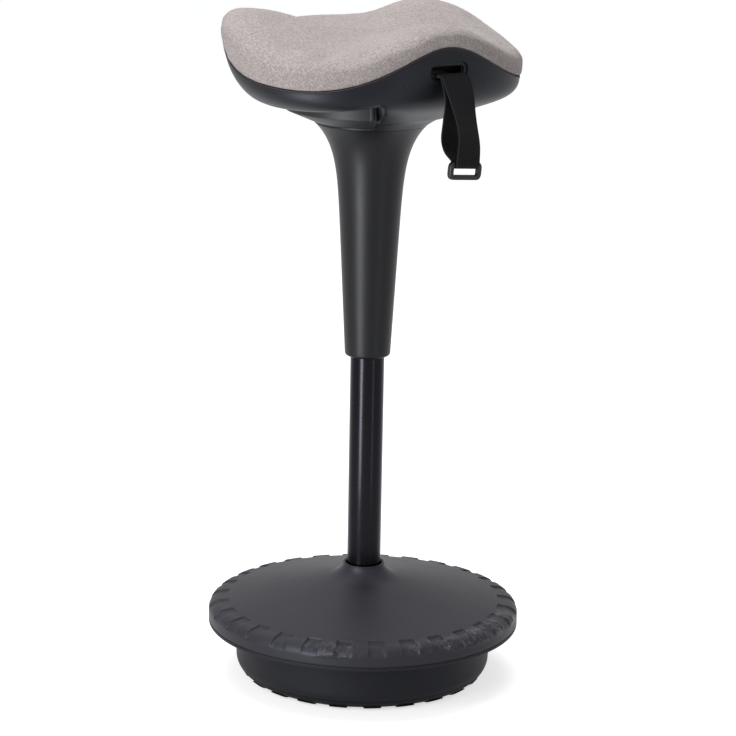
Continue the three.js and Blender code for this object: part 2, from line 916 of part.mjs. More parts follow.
/** Cushion section from the seam over the crest to the centre. */
function cushionSection(angle) {
  const seam = seamHeight(angle) + seatGap;
  const crest = crestHeight(angle);
  const radius = seamRadius(angle);
  const belly = seam + bulgeShare * (crest - seam);
  const widest = radius + cushionBulge;
  const points = [];
  for (const share of [0, 0.34, 0.67]) {
    const turn = quarterTurn * share;
    points.push([radius + cushionBulge * Math.sin(turn), belly - (belly - seam) * Math.cos(turn)]);
  }
  for (const share of [0, 0.3, 0.55, 0.78, 1]) {
    const turn = quarterTurn * share;
    const roll = edgeRollWidth * (1 - Math.cos(turn));
    points.push([widest - roll, belly + (crest - belly) * Math.sin(turn)]);
  }
  const reach = widest - edgeRollWidth;
  for (const share of [0.2, 0.42, 0.66, 0.86]) {
    const blend = share * share * (3 - 2 * share);
    points.push([reach * (1 - share), crest + (seatCentreHeight - crest) * blend]);
  }
  return points;
}

/** Section moved inwards by a distance along its own normals. */
function insetSection(section, distance) {
  return section.map(([radius, height], i) => {
    const before = section[Math.max(0, i - 1)];
    const after = section[Math.min(section.length - 1, i + 1)];
    const run = after[0] - before[0];
    const rise = after[1] - before[1];
    const length = Math.hypot(run, rise);
    if (i === 0) return [radius - distance, height];
    return [radius - distance * rise / length, height + distance * run / length];
  });
}

/** Every second or so point of a section, enough for a hidden inner face. */
function thinned(section) {
  return section.filter((point, i) => [0, 3, 5, 7, 9, 11].includes(i));
}

/** Closed solid between an upper and a lower family of sections that meet the axis. */
function domed(upperAt, lowerAt, upperCentre, lowerCentre, steps) {
  const values = [];
  const index = [];
  const first = upperAt(0).length;
  const second = lowerAt(0).length;
  const stride = first + second;
  for (let i = 0; i < steps; i += 1) {
    const angle = wholeTurn * i / steps;
    for (const [radius, height] of [...upperAt(angle), ...lowerAt(angle)]) {
      values.push(...around(angle, radius), height);
    }
  }
  const top = steps * stride;
  values.push(0, 0, upperCentre, 0, 0, lowerCentre);
  for (let i = 0; i < steps; i += 1) {
    const a = i * stride;
    const b = ((i + 1) % steps) * stride;
    for (let k = 0; k < first - 1; k += 1) {
      index.push(a + k, b + k, b + k + 1, a + k, b + k + 1, a + k + 1);
    }
    index.push(a + first - 1, b + first - 1, top);
    for (let k = first; k < stride - 1; k += 1) {
      index.push(a + k, b + k + 1, b + k, a + k, a + k + 1, b + k + 1);
    }
    index.push(a + stride - 1, top + 1, b + stride - 1);
    index.push(a, b + first, b, a, a + first, b + first);
  }
  const geometry = new THREE.BufferGeometry();
  geometry.setAttribute('position', new THREE.BufferAttribute(new Float32Array(values), 3));
  geometry.setIndex(index);
  return closed(geometry);
}

/** Sewn fabric cover drawn over the foam and tucked at the seam. */
function buildCushionCover() {
  const upper = (angle) => cushionSection(angle);
  const lower = (angle) => thinned(insetSection(cushionSection(angle), coverThickness));
  const inside = seatCentreHeight - coverThickness;
  return domed(upper, lower, seatCentreHeight, inside, seatSteps);
}

/** Height of the board surface under the foam. */
function boardHeight(angle, share) {
  return boardCrown + (seamHeight(angle) - boardCrown) * share ** boardPower;
}

/** Board surface at an angle, dropped by a distance. */
function boardSection(angle, drop) {
  return [1, 0.78, 0.4].map((part) => {
    const share = part * boardReachShare;
    return [share * seamRadius(angle), boardHeight(angle, share) - drop];
  });
}

/** Foam pad between the cover and the board. */
function buildFoam() {
  const inset = coverThickness + seatGap;
  const upper = (angle) => thinned(insetSection(cushionSection(angle), inset));
  const lower = (angle) => [
    [seamRadius(angle) - shellWall - 2 * seatGap, seamHeight(angle) + seatGap],
    ...boardSection(angle, -seatGap),
  ];
  return domed(upper, lower, seatCentreHeight - inset, boardCrown + seatGap, seatSteps);
}

/** Moulded board under the foam, with bosses for the plate bolts and a clamp pad. */
function buildBoard() {
  const upper = (angle) => boardSection(angle, 0);
  const lower = (angle) => boardSection(angle, boardThickness);
  const body = domed(upper, lower, boardCrown, boardCrown - boardThickness, seatSteps);
  const bossTopLevel = boardCrown - boardThickness / 2;
  const bossBottom = plateTop + seatGap;
  const bosses = boltPlaces().map(([x, y]) => {
    const boss = rod(boardBossRadius, bossBottom, bossTopLevel, 12);
    boss.translate(x, y, 0);
    return solid(boss);
  });
  const padBottom = clampTop();
  const pad = block([strapOffset - clampHalfLength, -clampDepth - clampHalfDepth, padBottom],
    [strapOffset + clampHalfLength, -clampDepth + clampHalfDepth, padBottom + padHeight]);
  const bores = boltPlaces().map(([x, y]) => {
    const bore = rod(boltRadius + seatGap, bossBottom - cutOverrun, plateTop + boltReach, screwSteps);
    bore.translate(x, y, 0);
    return solid(bore);
  });
  const screwBores = clampScrewPlaces().map((x) => {
    const top = padBottom + clampScrewReach;
    const bore = rod(clampScrewRadius + seatGap, padBottom - cutOverrun, top, screwSteps);
    bore.translate(x, -clampDepth, 0);
    return solid(bore);
  });
  const whole = joined([solid(body), ...bosses, solid(pad)]);
  return shaped(whole.subtract(joined([...bores, ...screwBores])));
}

/** Plan places of the plate bolts. */
function boltPlaces() {
  const places = [];
  for (const side of [-1, 1]) {
    for (const end of [-1, 1]) places.push([side * boltAlong, end * boltAcross]);
  }
  return places;
}

/** Offsets of the two clamp screws. */
function clampScrewPlaces() {
  return [strapOffset - clampScrewAcross, strapOffset + clampScrewAcross];
}

/** Level of the clamp pad above both strap layers. */
function clampTop() {
  return clampHeight + strapThickness + strapLayerGap / 2 + seatGap;
}

/** Share by which the finger recess is open at an angle and radius. */
function fingerRecess(angle, radius) {
  const start = leverStartAngle - fingerRecessLead;
  if (angle <= start || angle >= leverEndAngle) return 0;
  const turn = (angle - start) / (leverEndAngle - start);
  const swell = 1 - (1 - fingerRecessEndShare) * turn;
  const outwards = 1 - (radius - leverOuter - fingerRecessMargin) / fingerRecessReach;
  const inwards = (radius - leverInner) / (leverOuter - leverInner);
  const fade = Math.max(0, Math.min(1, outwards, inwards));
  return swell * fade * fade * (3 - 2 * fade);
}

/** Height of the shell surface at a share of the way from joint to seam. */
function shellHeight(angle, share, radius) {
  const rise = shellRise + shellRiseLean * Math.cos(angle);
  const cone = Math.sin(quarterTurn * Math.min(1, share / shellRiseShare));
  const power = shellWallPower + shellWallPowerLean * Math.cos(angle);
  const round = shellWallRoundShare + shellWallLeanShare * Math.cos(angle);
  const wall = 1 - (1 - share ** power) ** round;
  const seam = seamHeight(angle) - jointHeight - rise;
  const recess = fingerRecessRise * fingerRecess(angle, radius);
  return jointHeight + rise * cone + seam * wall + recess;
}

/** Radii stepping from one radius to another by shares. */
function stepped(from, to, shares) {
  return shares.map((share) => from + (to - from) * share);
}

/** Closed section of the shell wall at an angle. */
function shellSection(angle) {
  const seam = seamRadius(angle);
  const rim = leverOuter + leverGap;
  const outerRadii = [
    ...stepped(jointRadius, rim, [0, 0.5, 1]),
    ...stepped(rim, seam, [0.2, 0.42, 0.63, 0.8, 0.92, 0.975, 1]),
  ];
  const outer = outerRadii.map((radius) => {
    const share = (radius - jointRadius) / (seam - jointRadius);
    return [radius, shellHeight(angle, share, radius)];
  });
  const innerEdge = seam - shellWall;
  const innerRadii = [
    ...stepped(innerEdge, rim, [0, 0.07, 0.26, 0.6, 1]),
    ...stepped(rim, jointBore, [0.5, 1]),
  ];
  const inner = innerRadii.map((radius) => {
    const share = (radius - jointBore) / (innerEdge - jointBore);
    const outerShare = Math.max(0, (radius - jointRadius) / (seam - jointRadius));
    const lift = shellWall * (1 - share ** 6);
    const surface = share === 1 ? seamHeight(angle) : shellHeight(angle, outerShare, radius);
    return [radius, surface + lift];
  });
  return [...outer, ...inner];
}

/** Moulded shell under the cushion, cut for the slot and the lever. */
function buildShell() {
  const body = solid(swirled(shellSection, seatSteps));
  const slot = slotPrism(slotHalfLength + bezelWall + seatGap, slotHalfRise + bezelWall + seatGap,
    seatHalfDepth + cutOverrun, seatHalfDepth - 5 * bezelDepth);
  const opening = solid(washer(leverInner - leverInnerGap, leverOuter + leverGap,
    jointHeight - cutOverrun, slotHeight, leverSteps));
  const frontAngle = leverStartAngle - leverFrontGap / leverOuter;
  const sector = wedge(frontAngle, leverEndAngle + leverGap / leverOuter, baseRadius,
    jointHeight - 2 * cutOverrun, slotHeight + cutOverrun);
  return shaped(body.subtract(solid(slot)).subtract(opening.intersect(solid(sector))));
}

/** Rounded slot outline. */
function slotOutline(halfLength, halfRise) {
  const points = [];
  const middle = halfLength - halfRise;
  for (const side of [1, -1]) {
    for (let i = 0; i <= 6; i += 1) {
      const turn = -quarterTurn + Math.PI * i / 6;
      const x = side * (middle + halfRise * Math.cos(turn));
      points.push([x, side * halfRise * Math.sin(turn)]);
    }
  }
  return points;
}

/** Bar of slot section running back from the front, between two depths. */
function slotPrism(halfLength, halfRise, front, back) {
  const geometry = prism(slotOutline(halfLength, halfRise), back, front);
  geometry.rotateX(quarterTurn);
  geometry.translate(0, 0, slotHeight);
  return closed(geometry);
}

/** Frame lining the strap slot. */
function buildBezel() {
  const front = seatHalfDepth - bezelSetBack;
  const outer = slotPrism(slotHalfLength + bezelWall, slotHalfRise + bezelWall, front,
    front - bezelDepth);
  const hole = slotPrism(slotHalfLength, slotHalfRise, front + cutOverrun,
    front - bezelDepth - cutOverrun);
  return shaped(solid(outer).subtract(solid(hole)));
}

/** Steel seat plate with its tapered hub and pivot ears. */
function buildPlate() {
  const bottom = plateTop - plateThickness;
  const [l, w, c] = [plateHalfLength, plateHalfWidth, plateCorner];
  const outline = [
    [l - c, -w], [l, c - w], [l, w - c], [l - c, w],
    [c - l, w], [-l, w - c], [-l, c - w], [c - l, -w],
  ];
  const sheet = solid(prism(outline, bottom, plateTop));
  const hubLow = coneRadiusAt(hubBottom);
  const hub = solid(rod(hubLow + hubWall, hubBottom, plateTop - plateThickness / 2, columnSteps));
  const cone = solid(turned([
    [0, hubBottom - cutOverrun],
    [coneRadiusAt(hubBottom - cutOverrun) + seatGap, hubBottom - cutOverrun],
    [coneRadiusAt(plateTop + cutOverrun) + seatGap, plateTop + cutOverrun],
    [0, plateTop + cutOverrun],
  ], columnSteps));
  const ears = [-1, 1].map((side) => {
    const near = side * earInnerFace;
    const far = side * (earInnerFace + earThickness);
    return solid(block([-pivotOffset - earHalfLength, Math.min(near, far), bottom],
      [-pivotOffset + earHalfLength, Math.max(near, far), pivotHeight + earHalfLength]));
  });
  const pin = crossRod(pivotRadius + seatGap, pivotHalfLength + cutOverrun, 12);
  const bores = boltPlaces().map(([x, y]) => {
    const bore = rod(boltRadius + seatGap, bottom - cutOverrun, plateTop + cutOverrun, screwSteps);
    bore.translate(x, y, 0);
    return solid(bore);
  });
  const body = joined([sheet, hub, ...ears]);
  return shaped(body.subtract(joined([cone, solid(pin), ...bores])));
}

/** Level rod along Y through the lever pivot. */
function crossRod(radius, halfLength, steps) {
  const geometry = rod(radius, -halfLength, halfLength, steps);
  geometry.rotateX(quarterTurn);
  geometry.translate(-pivotOffset, 0, pivotHeight);
  return closed(geometry);
}

/** Curved lever paddle under the shell with the boss that carries its arm. */
function buildPaddle() {
  const section = turned([
    [leverInner, leverFloorInner],
    [leverOuter - leverRound, leverWallBottom - leverRound],
    [leverOuter, leverWallBottom],
    [leverOuter, leverWallTop - leverRound],
    [leverOuter - leverRound, leverWallTop],
    [leverOuter - leverWallThickness, leverWallTop],
    [leverOuter - leverWallThickness, leverWallBottom + leverFloorThickness],
    [leverInner, leverFloorInner + leverFloorThickness],
    [leverInner, leverFloorInner],
  ], leverSteps);
  const sector = wedge(leverStartAngle, leverEndAngle, baseRadius, 0, pivotHeight + cutOverrun);
  const tray = solid(section).intersect(solid(sector));
  const bossTopLevel = pivotHeight - armThickness / 2 - seatGap;
  const boss = block([-armReach - leverWallThickness, -armBossHalfWidth, leverWallBottom],
    [-armBossInner, armBossHalfWidth, bossTopLevel]);
  const screwHole = leverScrewHole();
  return shaped(tray.add(solid(boss)).subtract(solid(screwHole)));
}

const leverScrewPlace = -(armReach + armBossInner) / 2;

/** Hole for the screw that holds the arm to the paddle. */
function leverScrewHole() {
  const top = pivotHeight + armThickness + cutOverrun;
  const bottom = pivotHeight - armThickness / 2 - leverScrewReach;
  const hole = rod(leverScrewRadius + seatGap, bottom, top, 12);
  hole.translate(leverScrewPlace, 0, 0);
  return closed(hole);
}

/** Steel arm from the paddle over the pivot to the release pin. */
function buildArm() {
  const low = pivotHeight - armThickness / 2;
  const bar = block([-armReach, -armHalfWidth, low], [armTip, armHalfWidth, low + armThickness]);
  const barrel = solid(crossRod(armBarrel, earInnerFace - slideGap, 12));
  const bore = solid(crossRod(pivotRadius + seatGap, earInnerFace + cutOverrun, 12));
  const body = solid(bar).add(barrel).subtract(bore);
  return shaped(body.subtract(solid(leverScrewHole())));
}

/** Screw that holds the arm down on the paddle boss. */
function buildLeverScrew() {
  const seat = pivotHeight + armThickness / 2;
  const screw = screwDown(leverScrewRadius, leverScrewHead, leverScrewHeadHeight, seat,
    leverScrewReach);
  screw.translate(leverScrewPlace, 0, 0);
  return closed(screw);
}

/** Distance of a strap layer's middle from the middle of both layers. */
const layerOffset = (strapThickness + strapLayerGap) / 2;

/** Smooth line through depth and height pairs. */
function smoothLine(places, steps) {
  const points = places.map(([depth, height]) => new THREE.Vector3(0, -depth, height));
  return new THREE.CatmullRomCurve3(points, false, 'centripetal').getPoints(steps);
}

/** Centre line of the hanging loop, down the front, round the ring and up the back. */
function loopLine() {
  const wrap = ringBar + 2 * seatGap + strapThickness / 2;
  const middle = (2 * strapShoulderHeight + strapBellyHeight) / 3;
  const front = smoothLine([
    [strapMouthDepth, slotHeight],
    [strapShoulderDepth, strapShoulderHeight + 2 * layerOffset],
    [(strapShoulderDepth + strapFrontDepth) / 2, middle],
    [strapFrontDepth, strapBellyHeight],
    [strapAxisDepth + wrap, ringTopHeight + ringBar],
  ], 12);
  const round = ellipseArc([strapAxisDepth, ringTopHeight], [wrap, wrap], 0, -Math.PI, 6)
    .map(([y, z]) => new THREE.Vector3(0, -y, z));
  const back = smoothLine([
    [strapAxisDepth - wrap, ringTopHeight + ringBar],
    [strapBackDepth, strapBellyHeight - 2.6 * wrap],
    [strapBackDepth, strapBellyHeight + 2 * wrap],
    [(strapShoulderDepth + strapMouthDepth) / 2, middle],
    [strapMouthDepth, slotHeight - 2 * layerOffset],
  ], 12);
  return [...front, ...round, ...back];
}

/** Outline of a strip of webbing along a line, as depth and height pairs. */
function stripOutline(line, thickness) {
  const outer = [];
  const inner = [];
  line.forEach((point, i) => {
    const before = line[Math.max(0, i - 1)];
    const after = line[Math.min(line.length - 1, i + 1)];
    const along = new THREE.Vector3().subVectors(after, before).normalize();
    const offset = thickness / 2;
    outer.push([-(point.y - along.z * offset), point.z + along.y * offset]);
    inner.push([-(point.y + along.z * offset), point.z - along.y * offset]);
  });
  return [...outer, ...inner.reverse()];
}

/** Flat webbing loop hanging from the slot, slowly twisted. */
function buildStrap() {
  const geometry = prism(stripOutline(loopLine(), strapThickness), -strapHalfWidth, strapHalfWidth);
  const position = geometry.getAttribute('position');
  for (let i = 0; i < position.count; i += 1) {
    const height = position.getY(i);
    position.setXYZ(i, ...hung(position.getZ(i), -position.getX(i), height));
  }
  return closed(geometry);
}

/** Stitched double end of the strap, from the clamp out to the slot mouth. */
function buildTail() {
  const clampFront = clampDepth + clampHalfDepth + strapThickness;
  const slotBack = seatHalfDepth - bezelDepth - strapThickness;
  const double = 2 * strapThickness + strapLayerGap;
  const line = [
    new THREE.Vector3(0, -strapEndDepth, clampHeight),
    ...smoothLine([
      [clampFront, clampHeight],
      [slotBack, slotHeight - layerOffset],
      [strapMouthDepth - strapThickness, slotHeight - layerOffset],
    ], 7),
  ];
  const geometry = prism(stripOutline(line, double), -strapHalfWidth, strapHalfWidth);
  const position = geometry.getAttribute('position');
  for (let i = 0; i < position.count; i += 1) {
    position.setXYZ(i, position.getZ(i) + strapOffset, -position.getX(i), position.getY(i));
  }
  const bores = clampScrewPlaces().map((x) => {
    const bore = rod(clampScrewRadius + seatGap, clampHeight - cutOverrun,
      clampHeight + cutOverrun, screwSteps);
    bore.translate(x, -clampDepth, 0);
    return solid(bore);
  });
  return shaped(solid(geometry).subtract(joined(bores)));
}

/** Place of a strap or ring point after the slow twist and tilt of the hanging loop. */
function hung(x, y, height) {
  const fall = (strapShoulderHeight - height) / (strapShoulderHeight - ringTopHeight);
  const share = Math.min(1, Math.max(0, fall));
  const ease = share * share * (3 - 2 * share);
  const angle = strapTwist * ease + strapBellyTwist * Math.sin(Math.PI * share) ** 2;
  const [c, s] = [Math.cos(angle), Math.sin(angle)];
  const fromAxis = y + strapAxisDepth;
  const level = x * (1 - ease + ease * Math.cos(strapTilt));
  return [
    strapOffset + level * c - fromAxis * s,
    level * s + fromAxis * c - strapAxisDepth,
    height - x * Math.sin(strapTilt) * ease,
  ];
}

/** Rounded rectangular ring hanging in the strap loop. */
function buildRing() {
  const halfWidth = ringHalfWidth - ringBar;
  const halfHeight = ringHeight / 2 - ringBar;
  const centre = ringTopHeight - halfHeight;
  const corners = [[1, 1, 0], [-1, 1, 1], [-1, -1, 2], [1, -1, 3]];
  const path = [];
  for (const [sideX, sideZ, quarter] of corners) {
    for (let i = 0; i <= 3; i += 1) {
      const turn = quarterTurn * (quarter + i / 3);
      const cx = sideX * (halfWidth - ringCorner);
      const cz = sideZ * (halfHeight - ringCorner);
      const out = [Math.cos(turn), Math.sin(turn)];
      path.push([cx + ringCorner * out[0], cz + ringCorner * out[1], out]);
    }
  }
  const rings = path.map(([x, z, out]) => {
    const section = [];
    for (let k = 0; k < 8; k += 1) {
      const turn = wholeTurn * k / 8;
      const push = ringBar * Math.cos(turn);
      const depth = ringBar * Math.sin(turn);
      const px = x + push * out[0];
      const pz = centre + z + push * out[1];
      section.push(hungRing(px, depth, pz));
    }
    return section;
  });
  return ringedSolid(rings);
}

/** Place of a ring point, the whole ring turned and tilted about its upper bar. */
function hungRing(x, depth, height) {
  const [c, s] = [Math.cos(strapTwist), Math.sin(strapTwist)];
  const fall = height - ringTopHeight;
  const across = x * Math.cos(strapTilt) + fall * Math.sin(strapTilt);
  const up = ringTopHeight + fall * Math.cos(strapTilt) - x * Math.sin(strapTilt);
  return [strapOffset + across * c - depth * s, across * s + depth * c - strapAxisDepth, up];
}

/** Bar that clamps the strap ends under the board. */
function buildClampBar() {
  const top = clampHeight - strapThickness - strapLayerGap / 2 - seatGap;
  const [front, back] = [-clampDepth - clampHalfDepth, -clampDepth + clampHalfDepth];
  const bar = solid(block([strapOffset - clampHalfLength, front, top - clampThickness],
    [strapOffset + clampHalfLength, back, top]));
  const bores = clampScrewPlaces().map((x) => {
    const bore = rod(clampScrewRadius + seatGap, top - clampThickness - cutOverrun,
      top + cutOverrun, 10);
    bore.translate(x, -clampDepth, 0);
    return solid(bore);
  });
  return shaped(bar.subtract(joined(bores)));
}

/** Screw up through the clamp bar into the pad. */
function buildClampScrew(x) {
  const seat = clampHeight - strapThickness - strapLayerGap / 2 - seatGap - clampThickness;
  const reach = clampTop() + clampScrewReach - seatGap - seat;
  const screw = screwUp(clampScrewRadius, clampScrewHead, clampScrewHeadHeight, seat, reach);
  screw.translate(x, -clampDepth, 0);
  return closed(screw);
}

// Base assembly
addPiece('rubber_sole', buildSole(), 'rubber');
addPiece('base_bowl', buildBowl(), 'satinPlastic');
addPiece('base_cover', buildCover(), 'rubber');
addPiece('ballast_weight', buildBallast(), 'castIron');
addPiece('column_socket', buildSocket(), 'steel');
for (let i = 0; i < flangeScrewCount; i += 1) {
  const screw = screwDown(flangeScrewRadius, flangeScrewHeadRadius, flangeScrewHeadHeight,
    socketFlangeTop, flangeScrewReach);
  screw.translate(flangeScrewCircle, 0, 0);
  screw.rotateZ(quarterTurn / 2 + wholeTurn * i / flangeScrewCount);
  addPiece(`flange_screw_${i + 1}`, closed(screw), 'steel');
}
addPiece('stand_tube', buildTube(), 'glossBlack');
addPiece('guide_bushing', buildBushing(), 'nylon');
addPiece('bearing_lower_washer', washer(rodClearance + seatGap, washerRadius, bearingBottom,
  bearingBottom + washerThickness, smallSteps), 'steel');
addPiece('bearing_ball_cage', buildCage(), 'steel');

// Turning rod assembly
addPiece('piston_rod', buildRod(), 'chrome');
addPiece('rod_piston', buildPiston(), 'steel');
addPiece('bearing_upper_washer', washer(rodClearance, washerRadius, upperWasherBottom,
  upperWasherBottom + washerThickness, smallSteps), 'steel');
addPiece('rod_bumper', buildBumper(), 'rubber');
addPiece('rod_washer', washer(rodClearance, rodWasherRadius,
  tubeBottom - rodWasherThickness - seatGap, tubeBottom - seatGap, smallSteps), 'steel');
addPiece('rod_clip', buildClip(), 'steel');

// Seat assembly
addPiece('gas_cylinder', buildCylinder(), 'glossBlack');
addPiece('cylinder_gland', washer(rodRadius + slideGap, cylinderRadius - cylinderWall - seatGap,
  cylinderBottom + glandInset, cylinderBottom + glandInset + glandLength, columnSteps), 'nylon');
addPiece('column_sleeve', buildSleeve(), 'satinPlastic');
addPiece('seat_plate', buildPlate(), 'steel');
boltPlaces().forEach(([x, y], i) => {
  const seat = plateTop - plateThickness;
  const reach = boltReach + plateThickness - seatGap;
  const bolt = screwUp(boltRadius, boltHeadRadius, boltHeadHeight, seat, reach);
  bolt.translate(x, y, 0);
  addPiece(`plate_bolt_${i + 1}`, closed(bolt), 'steel');
});
addPiece('seat_board', buildBoard(), 'plywood');
addPiece('seat_shell', buildShell(), 'satinPlastic');
addPiece('cushion_foam', buildFoam(), 'foam');
addPiece('cushion_cover', buildCushionCover(), 'fabric');
addPiece('slot_bezel', buildBezel(), 'satinPlastic');
addPiece('strap_clamp_bar', buildClampBar(), 'steel');
clampScrewPlaces().forEach((x, i) => {
  addPiece(`clamp_screw_${i + 1}`, buildClampScrew(x), 'steel');
});
addPiece('lever_pivot_pin', crossRod(pivotRadius, pivotHalfLength, 12), 'steel');

// Lever assembly
addPiece('lever_paddle', buildPaddle(), 'satinPlastic');
addPiece('lever_arm', buildArm(), 'steel');
addPiece('lever_screw', buildLeverScrew(), 'steel');
const pinTop = cylinderTop + pinStandProud;
addPiece('release_pin', rod(pinRadius, pinTop - pinLength, pinTop, 12), 'steel');

// Hanging strap
addPiece('strap_tail', buildTail(), 'webbing');
addPiece('pull_strap', buildStrap(), 'webbing');
addPiece('strap_ring', buildRing(), 'steel');

export default group;
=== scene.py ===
"""Perch stool: detailed pieces, finishes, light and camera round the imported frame.

Lengths in the classes are millimetres and turn into metres where a mesh is made.
Plan angles are measured from the front of the seat (-Y), positive towards -X.
"""

from __future__ import annotations

import json
import logging
import math
from dataclasses import dataclass, field
from enum import Enum
from typing import Callable, Iterable, Sequence, Union

import bmesh
import bpy
import numpy as np
from mathutils import Matrix, Vector
from mathutils.kdtree import KDTree

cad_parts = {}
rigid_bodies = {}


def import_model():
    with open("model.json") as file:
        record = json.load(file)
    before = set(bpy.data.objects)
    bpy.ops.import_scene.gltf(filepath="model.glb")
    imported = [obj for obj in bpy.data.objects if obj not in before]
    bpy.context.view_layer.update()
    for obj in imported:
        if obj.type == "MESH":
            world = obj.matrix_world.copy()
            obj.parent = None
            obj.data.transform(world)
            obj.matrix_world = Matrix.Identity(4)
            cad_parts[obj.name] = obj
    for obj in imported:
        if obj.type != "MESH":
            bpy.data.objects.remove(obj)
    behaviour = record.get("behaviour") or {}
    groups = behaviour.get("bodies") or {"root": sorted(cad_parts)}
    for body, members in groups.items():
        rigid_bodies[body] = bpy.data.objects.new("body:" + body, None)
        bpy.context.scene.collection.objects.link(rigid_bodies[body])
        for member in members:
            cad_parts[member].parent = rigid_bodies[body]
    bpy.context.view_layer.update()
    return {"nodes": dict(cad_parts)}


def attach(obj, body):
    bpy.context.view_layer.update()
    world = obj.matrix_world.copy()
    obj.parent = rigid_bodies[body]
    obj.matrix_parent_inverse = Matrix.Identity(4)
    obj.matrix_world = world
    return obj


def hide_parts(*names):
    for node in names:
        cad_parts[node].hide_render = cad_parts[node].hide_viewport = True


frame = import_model()

MM = 0.001
TURN = 2.0 * math.pi
QUARTER = 0.5 * math.pi
LOG = logging.getLogger("perch_stool")

Colour = tuple[float, float, float, float]
Outline = Sequence[tuple[float, float, float]]
Piece = bpy.types.Object
Material = bpy.types.Material
Node = bpy.types.Node


def deg(value: float) -> float:
    """Returns degrees as radians."""
    return math.radians(value)


# Shader expressions


def math_method(operation: str, swapped: bool = False) -> Callable[..., "Value"]:
    """Makes a method of Value that adds one Math node.

    Args:
        operation: the node's operation.
        swapped: True if the value is the last operand.

    Returns:
        The method, which takes the other operands, values or numbers.
    """
    def method(self: "Value", *others: "Number") -> "Value":
        """Returns the node's result."""
        operands: list[Number] = [self, *others]
        if swapped:
            operands.reverse()
        settings = {"operation": operation}
        made = self.graph.node("ShaderNodeMath", settings, dict(enumerate(operands)))
        return Value(self.graph, made.outputs[0])

    return method


class Value:
    """A shader socket that takes part in Python expressions.

    below gives 1 below its limit and 0 above, wrapped the remainder, which is never negative,
    and most the higher of two values.
    """

    def __init__(self, graph: "Graph", socket: bpy.types.NodeSocket) -> None:
        """Keeps the graph and the socket."""
        self.graph = graph
        self.socket = socket

    __add__ = __radd__ = math_method("ADD")
    __sub__ = math_method("SUBTRACT")
    __rsub__ = math_method("SUBTRACT", swapped=True)
    __mul__ = __rmul__ = math_method("MULTIPLY")
    __truediv__ = math_method("DIVIDE")
    __pow__ = math_method("POWER")
    floor = math_method("FLOOR")
    fraction = math_method("FRACT")
    size = math_method("ABSOLUTE")
    below = math_method("LESS_THAN")
    wrapped = math_method("FLOORED_MODULO")
    most = math_method("MAXIMUM")
    angle_over = math_method("ARCTAN2")

    def ramp(self, low: float, high: float, start: float = 0.0, end: float = 1.0) -> "Value":
        """Maps a range smoothly.

        Args:
            low: value where the change starts.
            high: value where it ends.
            start: result at low.
            end: result at high.

        Returns:
            The mapped value.
        """
        settings = {"interpolation_type": "SMOOTHSTEP"}
        sockets = {"Value": self, "From Min": low, "From Max": high, "To Min": start, "To Max": end}
        made = self.graph.node("ShaderNodeMapRange", settings, sockets)
        return Value(self.graph, made.outputs["Result"])


Number = Union[Value, float, int]


class Graph:
    """A node tree that is filled from the script."""

    def __init__(self, tree: bpy.types.NodeTree) -> None:
        """Takes over a tree and empties it."""
        self.tree = tree
        tree.nodes.clear()

    def node(self, kind: str, settings: dict | None = None, sockets: dict | None = None) -> Node:
        """Adds a node.

        Args:
            kind: the node's type.
            settings: properties set first, with a ramp's stops under "stops".
            sockets: numbers, colours, values or sockets for its inputs, by name or place.

        Returns:
            The new node.
        """
        made = self.tree.nodes.new(kind)
        for key, value in (settings or {}).items():
            if key == "stops":
                while len(made.color_ramp.elements) < len(value):
                    made.color_ramp.elements.new(1.0)
                for element, (place, colour) in zip(made.color_ramp.elements, value):
                    element.position = place
                    element.color = colour
            else:
                setattr(made, key, value)
        self.fill(made, sockets or {})
        return made

    def fill(self, made: Node, sockets: dict) -> None:
        """Sets or links the inputs of a node."""
        for key, value in sockets.items():
            source = value.socket if isinstance(value, Value) else value
            if isinstance(source, bpy.types.NodeSocket):
                self.tree.links.new(source, made.inputs[key])
            else:
                made.inputs[key].default_value = source

    def value(self, node: Node, output: Union[str, int] = 0) -> Value:
        """Returns one output of a node as a value."""
        return Value(self, node.outputs[output])

    def lit_or_shown(self, lit: Node, shown: Node) -> bpy.types.NodeSocket:
        """Returns one shader for rays that light the object, another for those that show it."""
        path = self.node("ShaderNodeLightPath")
        camera, glossy, clear = (self.value(path, key) for key in (
            "Is Camera Ray", "Is Glossy Ray", "Is Transmission Ray"))
        mixed = self.node("ShaderNodeMixShader", sockets={
            0: camera.most(glossy).most(clear), 1: lit.outputs[0], 2: shown.outputs[0]})
        return mixed.outputs[0]


